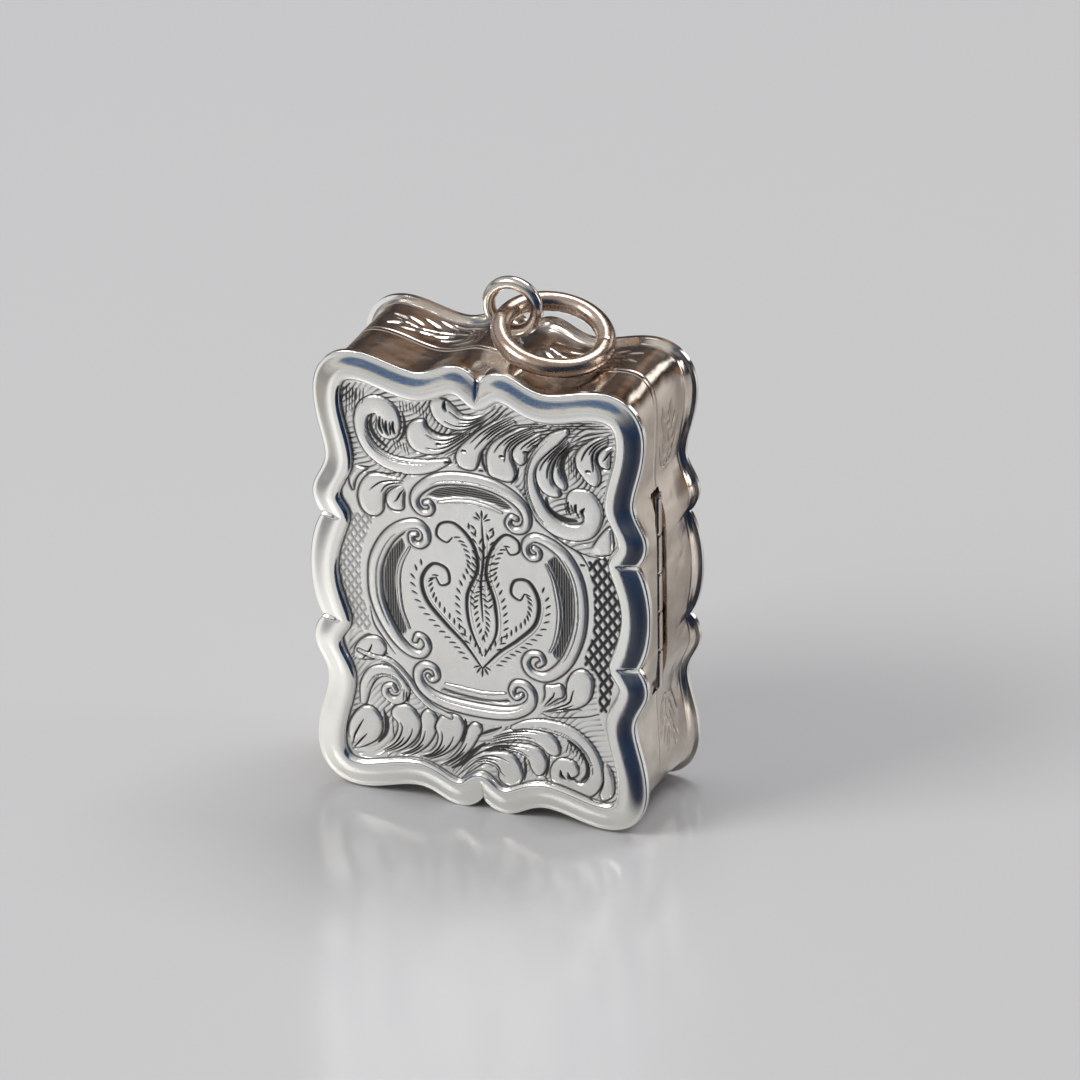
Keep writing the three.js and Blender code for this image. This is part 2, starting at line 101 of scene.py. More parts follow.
RING_SHIFT = 0.2  # from the eye's middle to the left
VIEW_AZIMUTH, VIEW_ELEVATION, VIEW_ROLL = 22.9, 26.6, -0.65
VIEW_SHIFT = (2.52, 1.68)  # from the case's middle to the picture's
VIEW_DISTANCE = 1.28  # in metres


# Borders: closed loops of (across, up) points from the middle of the case, in millimetres.


def knot(x, y, before, after=None):
    """A place on a border with its two handles."""
    return (x, y), before, after or (-before[0], -before[1])


def quarter(knots, steps):
    """A quarter of a border through its knots, from the right side's middle to the top's middle."""
    points = [np.array(knots[0][0], float)[None]]
    for (start, _, leaving), (end, arriving, _), count in zip(knots, knots[1:], steps):
        t = np.linspace(0, 1, count + 1)[1:]
        t = (0.35 * t + 0.65 * 0.5 * (1 - np.cos(np.pi * t)))[:, None]
        p0, p3 = np.array(start, float), np.array(end, float)
        p1, p2 = p0 + np.array(leaving), p3 + np.array(arriving)
        points.append((1 - t) ** 3 * p0 + 3 * (1 - t) ** 2 * t * p1 + 3 * (1 - t) * t * t * p2 + t**3 * p3)
    return np.concatenate(points)


def mirrored(points):
    """A whole border from its quarter."""
    half = np.concatenate([points, points[-2::-1] * (-1, 1)])
    return np.concatenate([half, half[-2:0:-1] * (1, -1)])


def outer_border(steps=SPAN_STEPS):
    """The rim's outer edge, with its sharp re-entrant points."""
    return mirrored(quarter([
        knot(HALF_WIDTH, 0, (0, -2.3)),
        knot(HALF_WIDTH - 1.05, 4.45, (0.5, -0.65), (0.5, 0.38)),
        knot(HALF_WIDTH - 0.25, 6.3, (0, -0.75), (0, 1.2)),
        knot(HALF_WIDTH - 1.35, 9.6, (0, -1.3)),
        knot(HALF_WIDTH - 0.4, CORNER_RISE, (0, -2.4), (0, 2.2)),
        knot(CREST_RUN, HALF_HEIGHT - 0.2, (2.2, 0), (-1.7, 0)),
        knot(5.4, HALF_HEIGHT - 1.1, (1.5, 0)),
        knot(1.9, HALF_HEIGHT, (1.2, 0), (-0.8, 0)),
        knot(0, HALF_HEIGHT - 1.0, (0.45, 0.6)),
    ], steps))


def inner_border(steps=SPAN_STEPS):
    """The rim's inner edge, where the points are rounded."""
    side, top = HALF_WIDTH - RIM_WIDTH, HALF_HEIGHT - RIM_WIDTH
    return mirrored(quarter([
        knot(side, 0, (0, -1.9)),
        knot(side - 1.05, 4.45, (0, -0.9)),
        knot(side - 0.25, 6.3, (0, -0.55), (0, 0.9)),
        knot(side - 1.35, 9.6, (0, -1.6)),
        knot(side - 0.4, CORNER_RISE - 0.3, (0, -1.7), (0, 1.3)),
        knot(CREST_RUN - 0.2, top - 0.2, (1.1, 0), (-1.2, 0)),
        knot(5.4, top - 1.1, (1.7, 0)),
        knot(1.9, top, (0.9, 0), (-0.6, 0)),
        knot(0, top - 1.0, (0.8, 0)),
    ], steps))


def wall_border(inset, steps=SPAN_STEPS):
    """The wall's border at the seam, which runs straight behind the hinge."""
    side, top = HALF_WIDTH - 1.0 - inset, HALF_HEIGHT - inset
    return mirrored(quarter([
        knot(side, 0, (0, -1.4)),
        knot(side, 4.45, (0, -1.4), (0, 0.6)),
        knot(side - 0.12, 6.3, (0.06, -0.6)),
        knot(HALF_WIDTH - 1.75 - inset, 9.6, (0, -1.3)),
        knot(side - 0.55, CORNER_RISE - 0.2, (0, -2.2), (0, 2.0)),
        knot(CREST_RUN - 0.5 * inset, top - 0.6, (1.9, 0), (-1.7, 0)),
        knot(5.4, top - 1.5, (1.5, 0)),
        knot(1.9, top - 0.7, (1.0, 0), (-0.7, 0)),
        knot(0, top - 0.9, (0.5, 0)),
    ], steps))


OUTER = outer_border()
INNER = inner_border()


def loop_at(border, y):
    """A border as points in space at a depth y."""
    y = np.broadcast_to(y, len(border))
    return np.column_stack([border[:, 0], y, CENTRE_Z + border[:, 1]])


def spline(points, step=0.1):
    """A smooth line through the points, sampled about every `step` millimetres."""
    p = np.array(points, float)
    if len(p) == 2:
        count = max(2, int(np.linalg.norm(p[1] - p[0]) / step) + 1)
        return p[0] + np.linspace(0, 1, count)[:, None] * (p[1] - p[0])
    ends = np.concatenate([[2 * p[0] - p[1]], p, [2 * p[-1] - p[-2]]])
    out = [p[:1]]
    for a, b, c, d in zip(ends, ends[1:], ends[2:], ends[3:]):
        count = max(1, int(np.ceil(np.linalg.norm(c - b) / step)))
        t = (np.arange(1, count + 1) / count)[:, None]
        square, cube = 2 * a - 5 * b + 4 * c - d, 3 * b - a - 3 * c + d
        out.append(0.5 * (2 * b + (c - a) * t + square * t * t + cube * t**3))
    return np.concatenate(out)


# Meshes


def sideways(line):
    """For each point of a line, the way along it and the unit way to its right."""
    ahead = np.gradient(line, axis=0)
    return ahead, np.column_stack([ahead[:, 1], -ahead[:, 0]]) / np.linalg.norm(ahead, axis=1)[:, None]


def strips(rows, count, closed_rows=False):
    """Four-sided faces between loops of `count` points that are stacked row on row."""
    last = rows if closed_rows else rows - 1
    row, i = np.meshgrid(np.arange(last), np.arange(count), indexing="ij")
    j, following = (i + 1) % count, (row + 1) % rows
    faces = np.stack([row * count + i, row * count + j, following * count + j, following * count + i], -1)
    return faces.reshape(-1, 4)


def as_object(name, points, faces, attributes=None):
    """A mesh object from points in millimetres, with its faces turned outwards."""
    mesh = bpy.data.meshes.new(name)
    mesh.from_pydata(np.asarray(points, float) * MM, [], [list(face) for face in faces])
    mesh.validate()
    for key, values in (attributes or {}).items():
        layer = mesh.attributes.new(key, "FLOAT", "POINT")
        layer.data.foreach_set("value", np.asarray(values, np.float32))
    obj = bpy.data.objects.new(name, mesh)
    bpy.context.scene.collection.objects.link(obj)
    face_out(mesh)
    return obj


def volume_of(mesh):
    """Six times the volume that a closed mesh holds, negative where its faces point in."""
    mesh.calc_loop_triangles()
    count = len(mesh.loop_triangles)
    corners = np.zeros(count * 3, np.int32)
    mesh.loop_triangles.foreach_get("vertices", corners)
    places = np.zeros(len(mesh.vertices) * 3, np.float32)
    mesh.vertices.foreach_get("co", places)
    tri = places.astype(float).reshape(-1, 3)[corners].reshape(-1, 3, 3)
    return float((tri[:, 0] * np.cross(tri[:, 1], tri[:, 2])).sum())


def face_out(mesh):
    """Turns a closed mesh's faces round where they point in."""
    if volume_of(mesh) < 0:
        mesh.flip_normals()


def settle(obj, body, material, replaces=(), crease=32):
    """Smooths a finished piece, gives it its material, and rides it on its body."""
    mesh = obj.data
    mesh.materials.clear()
    mesh.materials.append(material)
    mesh.polygons.foreach_set("use_smooth", np.ones(len(mesh.polygons), bool))
    mesh.set_sharp_from_angle(angle=math.radians(crease))
    mesh.update()
    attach(obj, body)
    if replaces:
        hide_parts(*replaces)
    return obj


def evaluated(obj):
    """The object with its modifiers made into its mesh."""
    bpy.context.view_layer.update()
    graph = bpy.context.evaluated_depsgraph_get()
    mesh = bpy.data.meshes.new_from_object(obj.evaluated_get(graph), depsgraph=graph)
    obj.modifiers.clear()
    obj.data = mesh
    return obj


def block(name, low, high):
    """A box between two corners in millimetres."""
    corners = [(x, y, z) for x in (low[0], high[0]) for y in (low[1], high[1]) for z in (low[2], high[2])]
    faces = [(0, 1, 3, 2), (4, 6, 7, 5), (0, 4, 5, 1), (2, 3, 7, 6), (0, 2, 6, 4), (1, 5, 7, 3)]
    return as_object(name, corners, faces)


def cut_away(obj, *cutters):
    """Takes the cutters' shapes out of an object, and removes the cutters."""
    for cutter in cutters:
        modifier = obj.modifiers.new("cut", "BOOLEAN")
        modifier.operation, modifier.solver, modifier.object = "DIFFERENCE", "EXACT", cutter
    evaluated(obj)
    for cutter in cutters:
        bpy.data.objects.remove(cutter)
    return obj


def softened(node, name, width):
    """A copy of a CAD node with its edges rounded by `width` millimetres."""
    obj = bpy.data.objects.new(name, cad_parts[node].data.copy())
    bpy.context.scene.collection.objects.link(obj)
    weld = obj.modifiers.new("weld", "WELD")
    weld.merge_threshold = 0.002 * MM
    dissolve = obj.modifiers.new("flat", "DECIMATE")
    dissolve.decimate_type, dissolve.angle_limit = "DISSOLVE", math.radians(2)
    bevel = obj.modifiers.new("bevel", "BEVEL")
    bevel.width, bevel.segments, bevel.limit_method = width * MM, 2, "ANGLE"
    bevel.angle_limit = math.radians(35)
    return evaluated(obj)


# Shaders


class Term:
    """A number on a socket. Python's operators add the Math nodes."""

    def __init__(self, tree, socket):
        self.tree, self.socket = tree, socket

    def _math(self, operation, other, flipped=False):
        node = self.tree.nodes.new("ShaderNodeMath")
        node.operation = operation
        terms = (other, self) if flipped else (self, other)
        for slot, term in zip(node.inputs, terms):
            if isinstance(term, Term):
                self.tree.links.new(term.socket, slot)
            else:
                slot.default_value = term
        return Term(self.tree, node.outputs[0])

    def __add__(self, other):
        return self._math("ADD", other)

    def __sub__(self, other):
        return self._math("SUBTRACT", other)

    def __rsub__(self, other):
        return self._math("SUBTRACT", other, True)

    def __mul__(self, other):
        return self._math("MULTIPLY", other)

    def __truediv__(self, other):
        return self._math("DIVIDE", other)

    def __pow__(self, other):
        return self._math("POWER", other)

    def at_most(self, other):
        return self._math("MINIMUM", other)

    __radd__ = __add__
    __rmul__ = __mul__


class Shader:
    """A node tree in the making, with one method that adds any node."""

    def __init__(self, owner):
        owner.use_nodes = True
        self.owner, self.tree = owner, owner.node_tree
        self.tree.nodes.clear()

    def node(self, kind, settings=None, inputs=None):
        node = self.tree.nodes.new(kind)
        for key, value in (settings or {}).items():
            setattr(node, key, value)
        for key, value in (inputs or {}).items():
            slot = node.inputs[key]
            if isinstance(value, Term):
                self.tree.links.new(value.socket, slot)
            elif hasattr(value, "is_output"):
                self.tree.links.new(value, slot)
            else:
                slot.default_value = value
        return node

    def term(self, node, output=0):
        return Term(self.tree, node.outputs[output])

    def place(self, stretch=(1, 1, 1)):
        """Object coordinates in millimetres, stretched along each axis."""
        where = self.node("ShaderNodeTexCoord").outputs["Object"]
        scale = tuple(s / MM for s in stretch)
        return self.node("ShaderNodeVectorMath", {"operation": "MULTIPLY"}, {0: where, 1: scale}).outputs[0]

    def noise(self, scale, stretch=(1, 1, 1), detail=3.0, rough=0.55):
        """Noise with features about 1 / scale millimetres across."""
        made = self.node("ShaderNodeTexNoise", None, {
            "Vector": self.place(stretch), "Scale": scale, "Detail": detail, "Roughness": rough})
        return self.term(made)

    def between(self, value, low, high, to_low=0.0, to_high=1.0):
        """The value moved smoothly from one range to another, and held inside it."""
        made = self.node("ShaderNodeMapRange", {"interpolation_type": "SMOOTHSTEP"}, {
            "Value": value, "From Min": low, "From Max": high, "To Min": to_low, "To Max": to_high})
        return self.term(made)

    def within(self, value, rise, fall):
        """1 inside a range with soft ends, which are given as (from, to) pairs, and 0 outside it."""
        return self.between(value, *rise) * (1.0 - self.between(value, *fall))

    def attribute(self, name):
        return self.term(self.node("ShaderNodeAttribute", {"attribute_name": name}), "Fac")

    def mix(self, share, first, second):
        """A colour between two colours."""
        made = self.node("ShaderNodeMix", {"data_type": "RGBA"}, {0: share, 6: first, 7: second})
        return made.outputs[2]

    def bump(self, height, distance, strength=1.0, under=None):
        inputs = {"Height": height, "Distance": distance * MM, "Strength": strength}
        if under is not None:
            inputs["Normal"] = under
        return self.node("ShaderNodeBump", None, inputs).outputs[0]

    def surface(self, inputs):
        """Ends the tree in one Principled shader."""
        shader = self.node("ShaderNodeBsdfPrincipled", None, inputs)
        self.node("ShaderNodeOutputMaterial", None, {"Surface": shader.outputs[0]})
        return self.owner


def rgb(colour):
    return (*colour, 1.0)


# Finishes


def silver_finish(name, colour, tone, gloss, toned, tarnish, scratches, dents=0.03):
    """Silver with warm toning in patches, fine scratches, shallow dents and, in its cuts, black tarnish."""
    s = Shader(bpy.data.materials.new(name))
    patches = s.between(s.noise(0.16, detail=4.0), 0.36, 0.7)
    mottle = s.noise(1.1, detail=5.0, rough=0.65)
    share = (patches * 0.75 + s.between(mottle, 0.45, 0.75) * 0.25) * toned
    base = s.mix(share, rgb(colour), rgb(tone))
    hair = s.noise(2.4, (6.0, 6.0, 0.35), 2.0) * 0.5 + s.noise(2.1, (0.4, 6.0, 6.0), 2.0) * 0.5
    rough = s.between(hair, 0.35, 0.72, gloss * 0.75, gloss * 1.45) + share * 0.05
    rough = rough + s.between(mottle, 0.5, 0.8) * 0.05
    if tarnish:
        dark = s.attribute("tarnish")
        speckle = s.noise(9.0, detail=2.0) * 0.3 + 0.85
        black = s.between(dark * speckle, 0.12, 0.95)
        base = s.mix(black * 0.93, base, (0.035, 0.033, 0.034, 1))
        rough = rough + black * 0.25
    bump = s.bump(hair, 0.01, scratches, s.bump(s.noise(0.3, detail=2.0, rough=0.4), dents))
    return s.surface({"Base Color": base, "Metallic": 1.0, "Roughness": rough, "Normal": bump})


def gilt_finish(name, colour):
    """Silver-gilt, worn to paler metal in some patches and dull in others."""
    s = Shader(bpy.data.materials.new(name))
    worn = s.between(s.noise(0.5, detail=5.0), 0.5, 0.75)
    base = s.mix(worn * 0.35, rgb(colour), (0.86, 0.76, 0.56, 1))
    dull = s.between(s.noise(3.0, detail=4.0), 0.42, 0.7)
    base = s.mix(dull * 0.3, base, (0.5, 0.3, 0.1, 1))
    grain = s.noise(14.0, detail=2.0)
    return s.surface({
        "Base Color": base, "Metallic": 1.0, "Roughness": 0.24 + dull * 0.16,
        "Normal": s.bump(grain, 0.01, 0.5)})


def sponge_finish(name, colour):
    """Dry natural sponge: pale at the ridges, with painted shade that colours its sunk pores brown."""
    s = Shader(bpy.data.materials.new(name))
    cells = s.node(
        "ShaderNodeTexVoronoi", {"feature": "DISTANCE_TO_EDGE"}, {"Vector": s.place(), "Scale": 2.6})
    pore_sink_and_shade = s.between(s.term(cells), 0.02, 0.3)
    fine = s.noise(7.0, detail=5.0)
    # painted shade: brown where the pores sink
    base = s.mix(pore_sink_and_shade, rgb(colour), (0.34, 0.2, 0.09, 1))
    base = s.mix(s.between(fine, 0.4, 0.8) * 0.4, base, (0.82, 0.68, 0.45, 1))
    return s.surface({
        "Base Color": base, "Roughness": 0.9 + fine * 0.08, "Normal": s.bump(fine - pore_sink_and_shade * 0.8, 0.12, 0.9)})


FINISHES = {}


def finish(name):
    return FINISHES[name]


# Engraving


OUTLINE_MARGIN = 0.3  # reach of an outline's effect outside it


class Relief:
    """A cut surface: heights above the plain face and tarnish, on a grid in millimetres."""

    def __init__(self, across, up):
        self.across, self.up = across, up
        self.x, self.z = np.meshgrid(across, up)
        self.height = np.zeros(self.x.shape)
        self.dark = np.zeros(self.x.shape)

    def window(self, points, margin):
        """The grid's slices round some points."""
        low, high = points.min(0) - margin, points.max(0) + margin
        i0, i1 = np.searchsorted(self.across, [low[0], high[0]])
        j0, j1 = np.searchsorted(self.up, [low[1], high[1]])
        return slice(j0, j1), slice(i0, i1)

    def along(self, line, margin, window=None):
        """For the grid round a line: its window, the distance to the line, and the share along it."""
        view = window or self.window(line, margin)
        x, z = self.x[view], self.z[view]
        near, share = np.full(x.shape, 9.0), np.zeros(x.shape)
        if not x.size:
            return view, near, share
        steps = np.linalg.norm(np.diff(line, axis=0), axis=1)
        reached = np.concatenate([[0], np.cumsum(steps)])
        i0, j0 = view[1].start, view[0].start
        for a, b, start, length in zip(line, line[1:], reached, steps):
            if length < 1e-9:
                continue
            v = self.window(np.array([a, b]), margin)
            rows = slice(max(v[0].start - j0, 0), max(v[0].stop - j0, 0))
            cols = slice(max(v[1].start - i0, 0), max(v[1].stop - i0, 0))
            px, pz = x[rows, cols] - a[0], z[rows, cols] - a[1]
            if not px.size:
                continue
            u = (b - a) / length
            t = np.clip(px * u[0] + pz * u[1], 0, length)
            d = np.hypot(px - t * u[0], pz - t * u[1])
            closer = d < near[rows, cols]
            near[rows, cols] = np.where(closer, d, near[rows, cols])
            share[rows, cols] = np.where(closer, (start + t) / reached[-1], share[rows, cols])
        return view, near, share

    def cut(self, points, width, depth, swell, dark=1.0):
        """One burin cut: a V that swells from a fine start and runs out. swell 0 keeps it even."""
        view, near, share = self.along(spline(points, 0.12), width)
        taper = (1 - swell) + swell * np.sin(np.pi * np.clip(share * 0.92 + 0.04, 0, 1)) ** 0.7
        profile = np.clip(1 - near / (0.5 * width * taper + 1e-6), 0, 1)
        height = self.height[view]
        self.height[view] = np.minimum(height, height * (1 - profile) - depth * taper * profile)
        self.dark[view] = np.maximum(self.dark[view], dark * np.clip(profile * 1.7, 0, 1))

    def inside(self, outline):
        """For a closed outline: its window, the distance inside it, and the share round it."""
        ring = np.concatenate([outline, outline[:1]])
        view, near, share = self.along(ring, OUTLINE_MARGIN + 3.0, self.window(outline, OUTLINE_MARGIN))
        x, z = self.x[view], self.z[view]
        within = np.zeros(x.shape, bool)
        for (ax, az), (bx, bz) in zip(ring, ring[1:]):
            if az != bz:
                crosses = ((az > z) != (bz > z)) & (x < (bx - ax) * (z - az) / (bz - az) + ax)
                within ^= crosses
        return view, np.where(within, near, -near), share

    def groove(self, view, depth, line, sunk, strength=1.0):
        """A blackened cut just outside an edge, from the distance inside that edge."""
        profile = np.clip(1 - np.abs(depth + 0.5 * line) / line, 0, 1) * strength
        self.height[view] -= sunk * profile
        self.dark[view] = np.maximum(self.dark[view], profile)

    def petal(self, points, rise=0.12, edge=0.55, tail=True):
        """A swelling lobe with an outline cut round it, which clears its face. A tail's end stays open."""
        outline = spline(list(points) if tail else list(points) + [points[0]], 0.15)
        view, depth, share = self.inside(outline if tail else outline[:-1])
        strength = np.clip(2.6 * np.sin(np.pi * share), 0, 1) if tail else 1.0
        round_off = np.clip(depth / edge, 0, 1)
        crown = rise * np.sqrt(1 - (1 - round_off) ** 2) * strength
        over = depth > 0
        kept = (1 - strength) * over * 0.9
        self.height[view] = np.where(over, crown + kept * self.height[view], self.height[view])
        rubbed = 0.25 * np.clip(1 - depth / 0.1, 0, 1)
        dark = self.dark[view]
        self.dark[view] = np.where(over, np.maximum(rubbed * strength, kept * dark), dark)
        self.groove(view, depth, 0.15, 0.08, strength)

    def band(self, points, widths, rise=0.12, line=0.12):
        """A rounded strap along a line, with its widths from end to end; both edges are cut."""
        view, near, share = self.along(spline(points), max(widths) * 0.5 + OUTLINE_MARGIN)
        half = 0.5 * np.interp(share, np.linspace(0, 1, len(widths)), widths)
        depth = half - near
        crown = rise * np.sqrt(np.clip(1 - (near / np.maximum(half, 1e-6)) ** 2, 0, 1))
        over = depth > 0
        self.height[view] = np.where(over, crown, self.height[view])
        self.dark[view] = np.where(over, 0.3 * np.clip(1 - depth / 0.08, 0, 1), self.dark[view])
        self.groove(view, depth, line, 0.07)

    def ground(self, points, angle, pitch, depth, drop, dark, soft, sway=0.0, least=0.35):
        """A sunk ground inside an outline, shaded with parallel cuts. sway bends the cuts to and fro."""
        outline = spline(list(points) + [points[0]], 0.2)[:-1]
        view, deep, _ = self.inside(outline)
        share = np.clip(deep / soft, 0, 1)
        turn = math.radians(angle)
        x, z = self.x[view], self.z[view]
        along = x * math.cos(turn) + z * math.sin(turn)
        across = -x * math.sin(turn) + z * math.cos(turn) + sway * np.sin(0.8 * along + 0.5 * x)
        wave = 0.5 + 0.5 * np.cos(2 * np.pi * across / pitch)
        wave = wave**2 * (0.65 + 0.35 * np.sin(1.9 * x + 0.7) * np.sin(1.4 * z + 2.0)) if sway else wave
        self.height[view] -= share * (drop + depth * wave)
        self.dark[view] = np.maximum(self.dark[view], share * dark * (least + (1 - least) * wave))

    def lattice(self, outline, pitch, line, depth, dark=1.0):
        """Crossed cuts that leave small lozenges."""
        view, deep, _ = self.inside(spline(list(outline) + [outline[0]], 0.3)[:-1])
        share = np.clip(deep / 0.12, 0, 1)
        u = self.x[view] / pitch[0] + self.z[view] / pitch[1]
        v = self.x[view] / pitch[0] - self.z[view] / pitch[1]
        from_line = np.minimum(np.abs(u - np.round(u)), np.abs(v - np.round(v)))
        reach = line / math.hypot(*pitch)
        profile = np.clip(1 - from_line / (reach * 1.3), 0, 1) * share
        self.height[view] -= depth * profile
        self.dark[view] = np.maximum(self.dark[view], dark * np.clip(1.6 * profile, 0, 1))


# The lid's design, in millimetres across and up from the field's middle

TOP_GROUND = [(-11.6, 9.0), (-11.3, 12), (-11.6, 15), (-10.5, 16.2), (-8, 16.1), (-5.4, 15.4), (-2, 16.4),
              (0, 15.7), (2, 16.4), (5.4, 15.4), (8, 16.0), (10.4, 16.2), (11.5, 15), (11.3, 12),
              (10.6, 9.6), (11.0, 7.5), (11.4, 5.2), (8.8, 4.6), (6, 6.2), (4.4, 7.6), (3, 9.6),
              (0, 10.6), (-3, 10.2), (-5.6, 8.8), (-7, 7.9), (-9.4, 8.4)]
BOTTOM_GROUND = [(-11.0, -5.2), (-9.2, -5.4), (-7.2, -7.6), (-5.6, -9.6), (-3.6, -11.2), (0, -11.5),
                 (3.6, -10.9), (5.2, -9.2), (6.6, -7.0), (8.4, -5.0), (9.6, -5.6), (9.8, -8.4),
                 (10.4, -10.4), (11.3, -13), (11.4, -15.6), (10, -16.4), (7.5, -16.3), (5.2, -15.6),
                 (2, -16.6), (0, -16.0), (-2, -16.6), (-5.4, -15.6), (-8.6, -16.2), (-10.8, -16.0),
                 (-11.4, -14), (-10.7, -9.8), (-11.2, -7.0)]
RIGHT_LATTICE = [(8.9, 4.2), (11.9, 5.4), (11.4, 4.2), (12.2, 1.4), (12.2, -1.4), (11.4, -4.6),
                 (10.6, -8.6), (9.8, -8.4), (9.8, -5.8), (8.6, -4.7), (9.3, -2.2), (9.5, 0), (9.4, 2.2)]
LEFT_LATTICE = [(-8.6, 5.2), (-10.6, 5.0), (-11.9, 5.4), (-11.4, 4.2), (-12.2, 1.4), (-12.2, -1.4),
                (-11.4, -4.6), (-9.2, -5.0), (-9.8, -2.2), (-10.0, 0), (-9.7, 2.4)]

